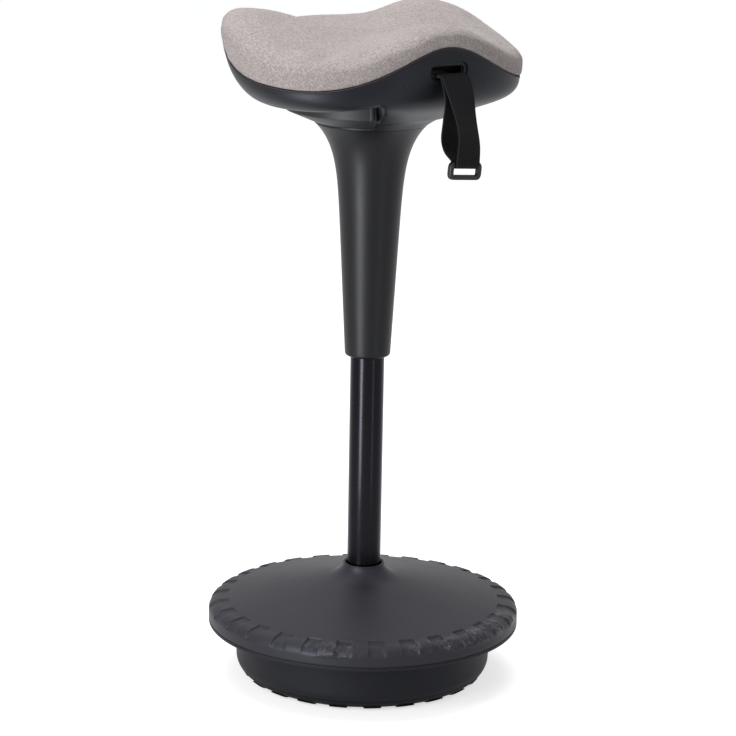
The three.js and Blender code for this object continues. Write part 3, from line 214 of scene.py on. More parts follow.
class ShaderGraph(Graph):
    """A new material and the nodes in it."""

    def __init__(self, name: str) -> None:
        """Makes the material, its output and its surface shader."""
        self.material = bpy.data.materials.new(name)
        self.material.use_nodes = True
        super().__init__(self.material.node_tree)
        self.surface = self.node("ShaderNodeBsdfPrincipled")
        self.output = self.node("ShaderNodeOutputMaterial", sockets={0: self.surface.outputs[0]})

    def place(self, kind: str = "Object") -> Value:
        """Returns object or surface coordinates, in metres."""
        return self.value(self.node("ShaderNodeTexCoord"), kind)

    def parts(self, vector: Value) -> list[Value]:
        """Returns the three parts of a vector."""
        made = self.node("ShaderNodeSeparateXYZ", sockets={0: vector})
        return [self.value(made, part) for part in range(3)]

    def joined(self, x: Number, y: Number, z: Number = 0.0) -> Value:
        """Returns a vector made of three numbers."""
        return self.value(self.node("ShaderNodeCombineXYZ", sockets={0: x, 1: y, 2: z}))

    def stretched(self, vector: Value, scale: Sequence[float], turn: Sequence[float] = (0, 0, 0)) -> Value:
        """Returns a vector scaled along its axes and turned."""
        sockets = {"Vector": vector, "Scale": scale, "Rotation": turn}
        return self.value(self.node("ShaderNodeMapping", sockets=sockets))

    def noise(self, vector: Value, pitch: float, detail: float = 2.0, rough: float = 0.5) -> Value:
        """Adds a noise pattern.

        Args:
            vector: coordinates in metres.
            pitch: size of its features in millimetres.
            detail: number of finer layers.
            rough: strength of the finer layers.

        Returns:
            The pattern, round 0.5.
        """
        sockets = {"Vector": vector, "Scale": 1.0 / (pitch * MM), "Detail": detail, "Roughness": rough}
        return self.value(self.node("ShaderNodeTexNoise", sockets=sockets), 0)

    def random(self, vector: Value) -> Value:
        """Returns one fixed random number for each value of a vector."""
        return self.value(self.node("ShaderNodeTexWhiteNoise", sockets={"Vector": vector}), 0)

    def blend(self, share: Number, first: Union[Colour, Value], second: Union[Colour, Value]) -> Value:
        """Returns a colour between two colours."""
        sockets = {0: share, 6: first, 7: second}
        return self.value(self.node("ShaderNodeMix", {"data_type": "RGBA"}, sockets), 2)

    def relief(self, height: Value, depth: float, normal: Value | None = None) -> Value:
        """Adds relief to the surface.

        Args:
            height: height from 0 to 1.
            depth: its real depth in millimetres.
            normal: relief that lies under it.

        Returns:
            The new normal.
        """
        sockets: dict = {"Height": height, "Distance": depth * MM, "Strength": 1.0}
        if normal is not None:
            sockets["Normal"] = normal
        return self.value(self.node("ShaderNodeBump", sockets=sockets))

    def finish(self, **sockets: Union[Number, Colour]) -> Material:
        """Fills the surface shader, with _ for a space in a socket's name, and returns the material."""
        self.fill(self.surface, {key.replace("_", " "): value for key, value in sockets.items()})
        return self.material


# Finishes


class Wear(Enum):
    """Where a moulded finish is worn, its worn patches also carrying a painted highlight."""

    NONE = "none"
    RIM = "rim"


@dataclass(frozen=True)
class FabricFinish:
    """Woven upholstery cloth in a mixed warm grey yarn, a two-over-two twill."""

    name: str = "seat_cloth_warm_grey"
    light: Colour = (0.640, 0.585, 0.570, 1.0)
    middle: Colour = (0.490, 0.438, 0.426, 1.0)
    dark: Colour = (0.335, 0.288, 0.278, 1.0)
    pitch: float = 0.62
    depth: float = 0.22

    def material(self) -> Material:
        """Returns the cloth, its threads laid along the piece's own UV map."""
        g = ShaderGraph(self.name)
        place = g.place("UV")
        across, along, _ = g.parts(place)
        warp = across / (self.pitch * MM)
        weft = along / (self.pitch * MM)
        column, row = warp.floor(), weft.floor()
        over = (column + row).wrapped(4.0).below(1.5)
        round_warp = 1.0 - (warp.fraction() * 2.0 - 1.0) ** 2.0
        round_weft = 1.0 - (weft.fraction() * 2.0 - 1.0) ** 2.0
        height = over * round_warp + (1.0 - over) * round_weft
        tone_warp = g.random(g.joined(column, (weft / 9.0).floor(), 3.0))
        tone_weft = g.random(g.joined((warp / 9.0).floor(), row, 8.0))
        tone = over * tone_warp + (1.0 - over) * tone_weft
        slub = g.noise(g.stretched(place, (1.0, 0.30, 1.0), (0, 0, deg(40))), 1.15, 2.0, 0.6)
        fleck = g.noise(g.stretched(place, (0.34, 1.0, 1.0), (0, 0, deg(50))), 1.0, 2.0, 0.6)
        cloud = g.noise(place, 46.0, 2.0, 0.5)
        mixed = tone * 0.24 + slub * 0.58 + fleck * 0.58 + height * 0.08 + cloud * 0.10
        yarn = g.node("ShaderNodeValToRGB", {"stops": [
            (0.0, self.dark), (0.30, self.dark), (0.52, self.middle),
            (0.78, self.light), (1.0, self.light),
        ]}, {0: mixed.ramp(0.36, 1.30)})
        fuzz = g.noise(place, 0.35, 2.0, 0.7)
        normal = g.relief(height * 0.8 + fuzz * 0.35, self.depth)
        return g.finish(Sheen_Weight=0.14, Sheen_Roughness=0.4, Specular_IOR_Level=0.1,
                        Base_Color=g.value(yarn), Roughness=0.86 + tone * 0.1, Normal=normal)


@dataclass(frozen=True)
class MouldedFinish:
    """Moulded plastic or rubber with a fine spark-eroded grain."""

    name: str
    colour: Colour
    second: Colour
    roughness: float
    spread: float
    grain: float
    depth: float
    specular: float = 0.25
    tint: Colour = (0.86, 0.91, 1.0, 1.0)
    wear: Wear = Wear.NONE

    def material(self) -> Material:
        """Returns the moulded finish, with handling marks and the odd dust speck."""
        g = ShaderGraph(self.name)
        place = g.place()
        slow = g.noise(place, 120.0, 3.0, 0.55)
        patch = g.noise(place, 31.0, 4.0, 0.6)
        grain = g.noise(place, self.grain, 3.0, 0.6)
        speck = g.noise(place, 1.5, 1.0, 0.4).ramp(0.745, 0.80)
        rub = g.noise(g.stretched(place, (1.0, 1.0, 0.12), (0.3, 0.2, 0.5)), 5.0, 3.0, 0.65)
        colour = g.blend(slow.ramp(0.32, 0.70), self.colour, self.second)
        colour = g.blend(speck * 0.12, colour, (0.16, 0.16, 0.17, 1.0))
        rough = self.roughness + (patch - 0.5) * self.spread + (rub - 0.5) * self.spread * 0.7
        rough = rough + (grain - 0.5) * 0.10
        normal = g.relief(grain + speck * 0.3, self.depth)
        if self.wear is Wear.RIM:
            colour, rough, normal = self.worn_rim_with_painted_highlight(g, place, colour, rough, normal)
        return g.finish(Specular_IOR_Level=self.specular, Specular_Tint=self.tint,
                        Base_Color=colour, Roughness=rough, Normal=normal)

    @staticmethod
    def worn_rim_with_painted_highlight(g: ShaderGraph, place: Value, colour: Value, rough: Value,
                 normal: Value) -> tuple[Value, Value, Value]:
        """Adds the scuffed, puckered, glossier patches on the outer rim, with a painted highlight that
        lightens their colour on the puckers' crests.

        Args:
            g: the graph.
            place: object coordinates.
            colour: colour so far.
            rough: roughness so far.
            normal: relief so far.

        Returns:
            The three with the wear and the painted highlight on them.
        """
        x, y, z = g.parts(place)
        radius = (x * x + y * y) ** 0.5
        angle = (x * -1.0).angle_over(y * -1.0)
        band = radius.ramp(0.163, 0.170) * z.ramp(0.077, 0.083)
        front = (angle - deg(48)).size().ramp(deg(7), deg(12), 1.0, 0.0)
        side = (angle + deg(13)).size().ramp(deg(27), deg(34), 1.0, 0.0)
        patches = g.noise(place, 19.0, 2.0, 0.5).ramp(0.38, 0.56)
        zone = band * front.most(side) * patches
        pucker = g.noise(g.stretched(place, (1.0, 1.0, 0.7)), 7.5, 3.0, 0.55)
        fine = g.noise(place, 2.6, 3.0, 0.6)
        lit = pucker.ramp(0.46, 0.66) * fine.ramp(0.34, 0.64)
        normal = g.relief(pucker * zone + fine * zone * 0.25, 1.8, normal)
        # painted highlight: colour lightened towards grey on the pucker crests, on the front and right of
        # the rim
        colour = g.blend(zone * lit * 0.55, colour, (0.150, 0.150, 0.158, 1.0))
        return colour, rough - zone * 0.12, normal


@dataclass(frozen=True)
class PaintFinish:
    """Black stoved paint on a drawn tube.

    Its gloss hardly rises towards the edges, as on a metal-filled paint.
    """

    name: str
    colour: Colour
    roughness: float
    edge: Colour = (0.85, 0.85, 0.88, 1.0)

    def material(self) -> Material:
        """Returns the paint, with slight orange peel and fine upright rubs."""
        g = ShaderGraph(self.name)
        place = g.place()
        peel = g.noise(place, 2.6, 2.0, 0.5)
        rubs = g.noise(g.stretched(place, (1.0, 1.0, 0.03)), 1.1, 3.0, 0.65)
        haze = g.noise(place, 48.0, 3.0, 0.6)
        dust = g.noise(place, 1.3, 1.0, 0.4).ramp(0.75, 0.81)
        colour = g.blend(haze * 0.6, self.colour, (0.014, 0.014, 0.0165, 1.0))
        colour = g.blend(dust * 0.15, colour, (0.2, 0.2, 0.21, 1.0))
        rough = self.roughness + (rubs - 0.5) * 0.10 + (haze - 0.5) * 0.08 + dust * 0.3
        return g.finish(Metallic=1.0, Specular_Tint=self.edge, Base_Color=colour, Roughness=rough,
                        Normal=g.relief(peel, 0.02))


class Working(Enum):
    """How a metal surface was made: stretch of its marks, their pitch and depth in millimetres."""

    TURNED = ((0.2, 0.2, 6.0), 1.1, 0.03)
    PLATED = ((1.0, 1.0, 1.0), 1.1, 0.03)
    CAST = ((1.0, 1.0, 1.0), 3.2, 0.5)
    BRUSHED = ((0.08, 2.5, 2.5), 1.1, 0.03)


@dataclass(frozen=True)
class MetalFinish:
    """Bare, plated or cast metal."""

    name: str
    colour: Colour
    stain: Colour
    roughness: float
    working: Working = Working.PLATED
    metallic: float = 1.0

    def material(self) -> Material:
        """Returns the metal, with tool marks, stains and roughness that varies."""
        g = ShaderGraph(self.name)
        place = g.place()
        stretch, pitch, depth = self.working.value
        marks = g.noise(g.stretched(place, stretch), pitch, 4.0, 0.65)
        stain = g.noise(place, 17.0, 4.0, 0.6).ramp(0.45, 0.75)
        colour = g.blend(stain * 0.7 + (marks - 0.5) * 0.4, self.colour, self.stain)
        rough = self.roughness + (marks - 0.5) * 0.22 + stain * 0.12
        return g.finish(Base_Color=colour, Roughness=rough, Metallic=self.metallic,
                        Normal=g.relief(marks, depth))


@dataclass(frozen=True)
class WoodFinish:
    """Pressed beech plywood, coloured near black as painted shade where it shows through the strap slot."""

    name: str = "seat_board_beech_painted_shade"
    # both tones near black: painted shade for the board seen through the strap slot
    light: Colour = (0.060, 0.048, 0.040, 1.0)
    dark: Colour = (0.018, 0.014, 0.012, 1.0)

    def material(self) -> Material:
        """Returns the near-black wood, painted shade, with its grain, flecks and veneer layers."""
        g = ShaderGraph(self.name)
        place = g.place()
        _, _, z = g.parts(place)
        grain = g.noise(g.stretched(place, (0.05, 1.0, 0.3)), 1.7, 5.0, 0.65)
        fleck = g.noise(g.stretched(place, (0.25, 1.0, 1.0)), 0.9, 2.0, 0.5).ramp(0.62, 0.72)
        layer = (z / (1.5 * MM)).floor().wrapped(2.0)
        colour = g.blend(grain.ramp(0.30, 0.72) * 0.8 + layer * 0.15, self.light, self.dark)
        colour = g.blend(fleck * 0.5, colour, self.dark)
        return g.finish(Base_Color=colour, Roughness=0.55 + grain * 0.2,
                        Normal=g.relief(grain - fleck * 0.5, 0.12))


@dataclass(frozen=True)
class WebbingFinish:
    """Woven strap with fine cross ribs, its colour lighter along each edge."""

    name: str
    colour: Colour
    edge: Colour
    rib: float = 1.3
    half_width: float = 19.0

    def material(self) -> Material:
        """Returns the webbing, its ribs across the piece's own UV map."""
        g = ShaderGraph(self.name)
        place = g.place("UV")
        along, across, _ = g.parts(place)
        step = along / (self.rib * MM)
        cord = across / (0.9 * MM)
        over = (step.floor() + cord.floor()).wrapped(2.0)
        rib = 1.0 - (step.fraction() * 2.0 - 1.0) ** 2.0
        warp = 1.0 - (cord.fraction() * 2.0 - 1.0) ** 2.0
        height = over * rib + (1.0 - over) * warp
        # colour lighter along both edges
        rim = across.size().ramp((self.half_width - 0.95) * MM, (self.half_width - 0.45) * MM)
        tone = g.random(g.joined(step.floor(), cord.floor(), 1.0))
        worn = g.noise(place, 13.0, 3.0, 0.6)
        colour = g.blend(tone * 0.5 + worn * 0.3, self.colour, (0.0135, 0.0135, 0.0155, 1.0))
        colour = g.blend(rim * 0.8, colour, self.edge)
        lint = g.noise(g.stretched(place, (1.0, 0.25, 1.0), (0, 0, 0.7)), 0.8, 1.0, 0.5).ramp(0.74, 0.8)
        colour = g.blend(lint * 0.10, colour, (0.2, 0.2, 0.2, 1.0))
        return g.finish(Sheen_Weight=0.02, Sheen_Roughness=0.5, Specular_IOR_Level=0.09,
                        Base_Color=colour, Roughness=0.74 + tone * 0.14 - rim * 0.12,
                        Normal=g.relief(height, 0.3))


Finish = Union[FabricFinish, MouldedFinish, PaintFinish, MetalFinish, WoodFinish, WebbingFinish]


@dataclass(frozen=True)
class Finishes:
    """Every material of the stool, made once."""

    shell: MouldedFinish = MouldedFinish(
        "seat_shell_satin_black", (0.0058, 0.0064, 0.0090, 1.0), (0.0080, 0.0087, 0.0120, 1.0),
        roughness=0.44, spread=0.06, grain=0.55, depth=0.016, specular=0.18, tint=(0.84, 0.89, 1.0, 1.0))
    sleeve: MouldedFinish = MouldedFinish(
        "column_sleeve_satin_black", (0.0036, 0.0037, 0.0046, 1.0), (0.0052, 0.0053, 0.0064, 1.0),
        roughness=0.42, spread=0.05, grain=0.50, depth=0.012, specular=0.195, tint=(0.93, 0.94, 1.0, 1.0))
    lever: MouldedFinish = MouldedFinish(
        "lever_satin_black", (0.0065, 0.0068, 0.0085, 1.0), (0.0085, 0.0088, 0.0105, 1.0),
        roughness=0.50, spread=0.06, grain=0.50, depth=0.014, specular=0.27, tint=(0.92, 0.94, 1.0, 1.0))
    # the cover's worn rim patches carry a painted highlight
    cover: MouldedFinish = MouldedFinish(
        "base_cover_soft_black", (0.0175, 0.0175, 0.0225, 1.0), (0.0215, 0.0215, 0.0270, 1.0),
        roughness=0.50, spread=0.08, grain=0.60, depth=0.026, specular=0.21, tint=(0.86, 0.87, 1.0, 1.0),
        wear=Wear.RIM)
    bowl: MouldedFinish = MouldedFinish(
        "base_bowl_matt_black", (0.0070, 0.0072, 0.0094, 1.0), (0.0092, 0.0094, 0.0118, 1.0),
        roughness=0.60, spread=0.08, grain=0.60, depth=0.030, specular=0.18, tint=(0.86, 0.88, 1.0, 1.0))
    sole: MouldedFinish = MouldedFinish(
        "sole_black_rubber", (0.0055, 0.0055, 0.0064, 1.0), (0.0090, 0.0090, 0.0100, 1.0),
        roughness=0.70, spread=0.14, grain=0.80, depth=0.050, specular=0.12)
    bumper: MouldedFinish = MouldedFinish(
        "bumper_black_rubber", (0.015, 0.015, 0.016, 1.0), (0.022, 0.022, 0.023, 1.0),
        roughness=0.70, spread=0.16, grain=0.80, depth=0.060, specular=0.30)
    nylon: MouldedFinish = MouldedFinish(
        "guide_natural_nylon", (0.62, 0.60, 0.54, 1.0), (0.70, 0.68, 0.61, 1.0),
        roughness=0.42, spread=0.12, grain=0.70, depth=0.025, specular=0.5)
    bezel: MouldedFinish = MouldedFinish(
        "slot_frame_satin_black", (0.0030, 0.0032, 0.0042, 1.0), (0.0045, 0.0047, 0.0060, 1.0),
        roughness=0.36, spread=0.06, grain=0.50, depth=0.008, specular=0.22)
    paint: PaintFinish = PaintFinish(
        "column_black_paint", (0.0105, 0.0105, 0.0130, 1.0), roughness=0.21)
    plate_paint: PaintFinish = PaintFinish(
        "plate_black_paint", (0.020, 0.020, 0.022, 1.0), roughness=0.42)
    zinc: MetalFinish = MetalFinish(
        "zinc_plated_steel", (0.58, 0.59, 0.60, 1.0), (0.36, 0.36, 0.35, 1.0), roughness=0.32)
    bright: MetalFinish = MetalFinish(
        "ground_bright_steel", (0.66, 0.66, 0.67, 1.0), (0.46, 0.45, 0.43, 1.0), roughness=0.20,
        working=Working.TURNED)
    chrome: MetalFinish = MetalFinish(
        "hard_chromed_rod", (0.74, 0.75, 0.77, 1.0), (0.60, 0.60, 0.61, 1.0), roughness=0.08,
        working=Working.TURNED)
    iron: MetalFinish = MetalFinish(
        "grey_cast_iron", (0.115, 0.115, 0.12, 1.0), (0.085, 0.060, 0.045, 1.0), roughness=0.62,
        working=Working.CAST, metallic=0.7)
    blackened: MetalFinish = MetalFinish(
        "blackened_spring_steel", (0.055, 0.055, 0.060, 1.0), (0.030, 0.028, 0.028, 1.0),
        roughness=0.38, working=Working.BRUSHED)
    ring: MetalFinish = MetalFinish(
        "strap_ring_black_nickel", (0.025, 0.025, 0.027, 1.0), (0.016, 0.016, 0.018, 1.0),
        roughness=0.36, metallic=0.85)
    # near-black board: painted shade inside the strap slot
    wood: WoodFinish = WoodFinish()
    cloth: FabricFinish = FabricFinish()
    webbing: WebbingFinish = WebbingFinish(
        "pull_strap_black_webbing", (0.0058, 0.0058, 0.0072, 1.0), (0.024, 0.024, 0.026, 1.0))
    thread: WebbingFinish = WebbingFinish(
        "black_sewing_thread", (0.012, 0.012, 0.013, 1.0), (0.03, 0.03, 0.03, 1.0), rib=0.4,
        half_width=50.0)
    hem: WebbingFinish = WebbingFinish(
        "seat_hem_cord", (0.150, 0.122, 0.112, 1.0), (0.150, 0.122, 0.112, 1.0), rib=0.7,
        half_width=5000.0)


FINISHES = Finishes()
MADE: dict[str, Material] = {}


def material_of(finish: Finish) -> Material:
    """Returns a finish's material, made at its first use."""
    if finish.name not in MADE:
        MADE[finish.name] = finish.material()
    return MADE[finish.name]


# Meshes


def rounded(corners: Outline, closed: bool = True, steps: int = 5) -> np.ndarray:
    """Rounds the corners of a flat outline.

    Args:
        corners: x, y and corner radius of each corner.
        closed: True if the last corner joins the first.
        steps: points on each rounded corner.

    Returns:
        The points, as an array of x and y.
    """
    points = np.array([corner[:2] for corner in corners], float)
    found: list[np.ndarray] = []
    count = len(points)
    for i, (here, (_, _, radius)) in enumerate(zip(points, corners)):
        ends = not closed and i in (0, count - 1)
        if radius <= 0 or ends:
            found.append(here)
            continue
        back = points[i - 1] - here
        on = points[(i + 1) % count] - here
        back_length, on_length = np.linalg.norm(back), np.linalg.norm(on)
        back, on = back / back_length, on / on_length
        half = 0.5 * math.acos(float(np.clip(back @ on, -1, 1)))
        run = min(radius / max(math.tan(half), 1e-6), 0.49 * back_length, 0.49 * on_length)
        for step in range(steps + 1):
            share = step / steps
            found.append((1 - share) ** 2 * (here + back * run) + 2 * share * (1 - share) * here
                         + share ** 2 * (here + on * run))
    return np.array(found)


def arc(centre: Sequence[float], half: Sequence[float], start: float, end: float,
        steps: int) -> list[tuple[float, float]]:
    """Returns x and y on an ellipse between two angles."""
    angles = np.linspace(start, end, steps + 1)
    return [(centre[0] + half[0] * math.cos(a), centre[1] + half[1] * math.sin(a)) for a in angles]


def square(points: Iterable[Sequence[float]]) -> list[tuple[float, float, float]]:
    """Returns flat points as corners that stay unrounded."""
    return [(x, y, 0.0) for x, y in points]


def plan(angle: np.ndarray, radius: np.ndarray) -> tuple[np.ndarray, np.ndarray]:
    """Returns x and y at a plan angle and radius."""
    return -radius * np.sin(angle), -radius * np.cos(angle)


def plan_points(angle: np.ndarray, radius: np.ndarray, height: np.ndarray) -> np.ndarray:
    """Returns the points at plan angles, radii and heights."""
    x, y = plan(angle, radius)
    return np.stack([x, y, np.broadcast_to(height, x.shape)], -1)


def smooth(share: Union[float, np.ndarray]) -> Union[float, np.ndarray]:
    """Returns an eased share, held between 0 and 1."""
    held = np.clip(share, 0.0, 1.0)
    return held * held * (3.0 - 2.0 * held)


def lattice_faces(rows: int, columns: int, wrap_rows: bool, wrap_columns: bool = True,
                  capped: bool = False) -> list[tuple[int, ...]]:
    """Returns the faces between rows and columns of points.

    Args:
        rows: number of rows.
        columns: points in a row.
        wrap_rows: True if the last row joins the first.
        wrap_columns: True if each row is a closed loop.
        capped: True if the first and last row become faces.

    Returns:
        The faces, as places in the points.
    """
    faces: list[tuple[int, ...]] = []
    for i in range(rows if wrap_rows else rows - 1):
        for k in range(columns if wrap_columns else columns - 1):
            i2, k2 = (i + 1) % rows, (k + 1) % columns
            faces.append((i * columns + k, i2 * columns + k, i2 * columns + k2, i * columns + k2))
    if capped:
        faces += [tuple(range(columns)), tuple(range((rows - 1) * columns, rows * columns))]
    return faces


def linked(name: str, data: bpy.types.ID) -> Piece:
    """Returns a new object, linked to the scene."""
    made = bpy.data.objects.new(name, data)
    bpy.context.scene.collection.objects.link(made)
    return made


def mesh_object(name: str, points: np.ndarray, faces: list, uv: np.ndarray | None = None,
                weld: float = 1e-4, sharp: float = 38.0) -> Piece:
    """Makes an object from points in millimetres.

    Args:
        name: the object's name.
        points: its points.
        faces: its faces, as places in points.
        uv: a place in metres on the cloth or strap for each point.
        weld: distance below which points join.
        sharp: angle in degrees above which an edge stays sharp.

    Returns:
        The object, with outward faces.
    """
    mesh = bpy.data.meshes.new(name)
    mesh.from_pydata((np.asarray(points).reshape(-1, 3) * MM).tolist(), [], faces)
    if uv is not None:
        layer = mesh.uv_layers.new(name="UVMap")
        flat = np.asarray(uv, float).reshape(-1, 2)
        index = np.zeros(len(mesh.loops), int)
        mesh.loops.foreach_get("vertex_index", index)
        layer.data.foreach_set("uv", flat[index].ravel())
    made = linked(name, mesh)
    tidy(made, weld, sharp)
    return made


def tidy(made: Piece, weld: float = 1e-4, sharp: float = 38.0) -> None:
    """Joins doubles, takes out idle corners, turns faces outwards and sets the shading.

    Args:
        made: the object to tidy.
        weld: distance in millimetres below which points join.
        sharp: angle in degrees above which an edge stays sharp.
    """
    work = bmesh.new()
    work.from_mesh(made.data)
    bmesh.ops.remove_doubles(work, verts=work.verts, dist=weld * MM)
    bmesh.ops.dissolve_degenerate(work, dist=weld * MM, edges=work.edges)
    idle = [corner for corner in work.verts if len(corner.link_edges) == 2]
    bmesh.ops.dissolve_verts(work, verts=idle)
    bmesh.ops.recalc_face_normals(work, faces=work.faces)
    if work.calc_volume(signed=True) < 0:
        bmesh.ops.reverse_faces(work, faces=work.faces)
    limit = deg(sharp)
    for face in work.faces:
        face.smooth = True
    for edge in work.edges:
        edge.smooth = not (len(edge.link_faces) == 2 and edge.calc_face_angle(0.0) > limit)
    work.to_mesh(made.data)
    work.free()
    made.data.update()


def turned(name: str, outline: np.ndarray, steps: int, sharp: float = 38.0) -> Piece:
    """Makes a body turned about the upright axis.

    Args:
        name: the object's name.
        outline: radius and height pairs round its section.
        steps: facets in the full turn.
        sharp: angle in degrees above which an edge stays sharp.

    Returns:
        The object.
    """
    angles = np.arange(steps) * TURN / steps
    radius, height = outline[:, 0], outline[:, 1]
    points = plan_points(angles[:, None], radius[None, :], height)
    on_axis = radius[0] < 1e-6 and radius[-1] < 1e-6
    faces = lattice_faces(steps, len(outline), True, not on_axis)
    return mesh_object(name, points, faces, sharp=sharp)


def smooth_line(places: Sequence[Sequence[float]], steps: int) -> np.ndarray:
    """Draws a smooth line through places, spaced by the root of their distance.

    Args:
        places: flat or solid points.
        steps: number of pieces.

    Returns:
        The points on the line.
    """
    points = [np.array(place, float) for place in places]
    points = [2 * points[0] - points[1], *points, 2 * points[-1] - points[-2]]
    found = []
    spans = len(places) - 1
    for step in range(steps + 1):
        whole = step / steps * spans
        i = min(int(whole), spans - 1)
        t = whole - i
        p0, p1, p2, p3 = points[i:i + 4]
        d0, d1, d2 = (max(np.linalg.norm(b - a) ** 0.5, 1e-4)
                      for a, b in ((p0, p1), (p1, p2), (p2, p3)))
        t1 = ((p1 - p0) / d0 - (p2 - p0) / (d0 + d1) + (p2 - p1) / d1) * d1
        t2 = ((p2 - p1) / d1 - (p3 - p1) / (d1 + d2) + (p3 - p2) / d2) * d1
        a, b = 2 * p1 - 2 * p2 + t1 + t2, -3 * p1 + 3 * p2 - 2 * t1 - t2
        found.append(((a * t + b) * t + t1) * t + p1)
    return np.array(found)


def join(first: Piece, *others: Piece) -> Piece:
    """Puts the meshes of several objects into the first one and returns it."""
    work = bmesh.new()
    for part in (first, *others):
        work.from_mesh(part.data)
    work.to_mesh(first.data)
    work.free()
    for part in others:
        bpy.data.objects.remove(part)
    return first


def cut(target: Piece, *cutters: Piece) -> None:
    """Takes the cutters out of the target for good."""
    for cutter in cutters:
        modifier = target.modifiers.new("cut", "BOOLEAN")
        modifier.operation = "DIFFERENCE"
        modifier.solver = "EXACT"
        modifier.object = cutter
        settle(target)
        bpy.data.objects.remove(cutter)


def settle(target: Piece) -> None:
    """Applies every modifier of an object to its mesh."""
    graph = bpy.context.evaluated_depsgraph_get()
    mesh = bpy.data.meshes.new_from_object(target.evaluated_get(graph), depsgraph=graph)
    target.modifiers.clear()
    target.data = mesh


def bevel(target: Piece, width: float, segments: int = 3, angle: float = 40.0) -> None:
    """Rounds the sharp edges of a simple piece.

    Args:
        target: the object.
        width: width of the rounding in millimetres.
        segments: facets across it.
        angle: edges sharper than this, in degrees, are rounded.
    """
    modifier = target.modifiers.new("round", "BEVEL")
    modifier.width = width * MM
    modifier.segments = segments
    modifier.limit_method = "ANGLE"
    modifier.angle_limit = deg(angle)
    settle(target)


# Geometry node trees


class NodeTree(Graph):
    """A geometry node tree with named inputs, built in the script."""

    def __init__(self, name: str, inputs: dict[str, str]) -> None:
        """Makes the tree and its inputs.

        Args:
            name: the tree's name.
            inputs: socket type of each named input.
        """
        super().__init__(bpy.data.node_groups.new(name, "GeometryNodeTree"))
        face = self.tree.interface
        face.new_socket("Geometry", in_out="INPUT", socket_type="NodeSocketGeometry")
        self.ids: dict[str, str] = {}
        for key, kind in {**inputs, "Material": "NodeSocketMaterial"}.items():
            self.ids[key] = face.new_socket(key, in_out="INPUT", socket_type=kind).identifier
        face.new_socket("Geometry", in_out="OUTPUT", socket_type="NodeSocketGeometry")
        self.start = self.tree.nodes.new("NodeGroupInput")
        self.end = self.tree.nodes.new("NodeGroupOutput")

    def given(self, name: str = "Geometry") -> bpy.types.NodeSocket:
        """Returns one input of the tree."""
        return self.start.outputs[name]

    def finish(self, shape: bpy.types.NodeSocket) -> None:
        """Ends the tree with real geometry, smooth shading and its material."""
        real = self.node("GeometryNodeRealizeInstances", sockets={"Geometry": shape})
        shade = self.node("GeometryNodeSetShadeSmooth", sockets={"Geometry": real.outputs[0]})
        painted = self.node("GeometryNodeSetMaterial", sockets={
            "Geometry": shade.outputs[0], "Material": self.given("Material")})
        self.fill(self.end, {0: painted.outputs[0]})

    def run(self, target: Piece, material: Material, **values: Union[int, float]) -> None:
        """Runs the tree on an object and keeps the result as its plain mesh.

        Args:
            target: the object whose mesh goes in.
            material: the material of the result.
            values: the named inputs, with _ for a space.
        """
        modifier = target.modifiers.new("nodes", "NODES")
        modifier.node_group = self.tree
        modifier[self.ids["Material"]] = material
        for key, value in values.items():
            modifier[self.ids[key.replace("_", " ")]] = value
        settle(target)


def ring_tree() -> NodeTree:
    """Returns a tree that repeats a shape round the upright axis."""
    made = NodeTree("repeat_round_axis", {"Count": "NodeSocketInt", "Phase": "NodeSocketFloat"})
    line = made.node("GeometryNodeMeshLine", sockets={
        "Count": made.given("Count"), "Offset": (0.0, 0.0, 0.0)})
    index = made.node("GeometryNodeInputIndex")
    step = made.node("ShaderNodeMath", {"operation": "DIVIDE"},
                     {0: TURN, 1: made.given("Count")})
    angle = made.node("ShaderNodeMath", {"operation": "MULTIPLY_ADD"}, {
        0: index.outputs[0], 1: step.outputs[0], 2: made.given("Phase")})
    turn = made.node("ShaderNodeCombineXYZ", sockets={2: angle.outputs[0]})
    placed = made.node("GeometryNodeInstanceOnPoints", sockets={
        "Points": line.outputs[0], "Instance": made.given(),
        "Rotation": turn.outputs[0]})
    made.finish(placed.outputs[0])
    return made


def bar_tree() -> NodeTree:
    """Returns a tree that runs a rounded bar along a path of edges."""
    sizes = dict.fromkeys(("Width", "Depth", "Corner"), "NodeSocketFloat")
    made = NodeTree("bar_along_path", sizes)
    path = made.node("GeometryNodeMeshToCurve", sockets={"Mesh": made.given()})
    section = made.node("GeometryNodeCurvePrimitiveQuadrilateral", sockets={
        "Width": made.given("Width"), "Height": made.given("Depth")})
    corner = made.node("GeometryNodeFilletCurve", {"mode": "POLY"}, {
        "Curve": section.outputs[0], "Radius": made.given("Corner"), "Limit Radius": True,
        "Count": 5})
    swept = made.node("GeometryNodeCurveToMesh", sockets={
        "Curve": path.outputs[0], "Profile Curve": corner.outputs[0], "Fill Caps": True})
    made.finish(swept.outputs[0])
    return made


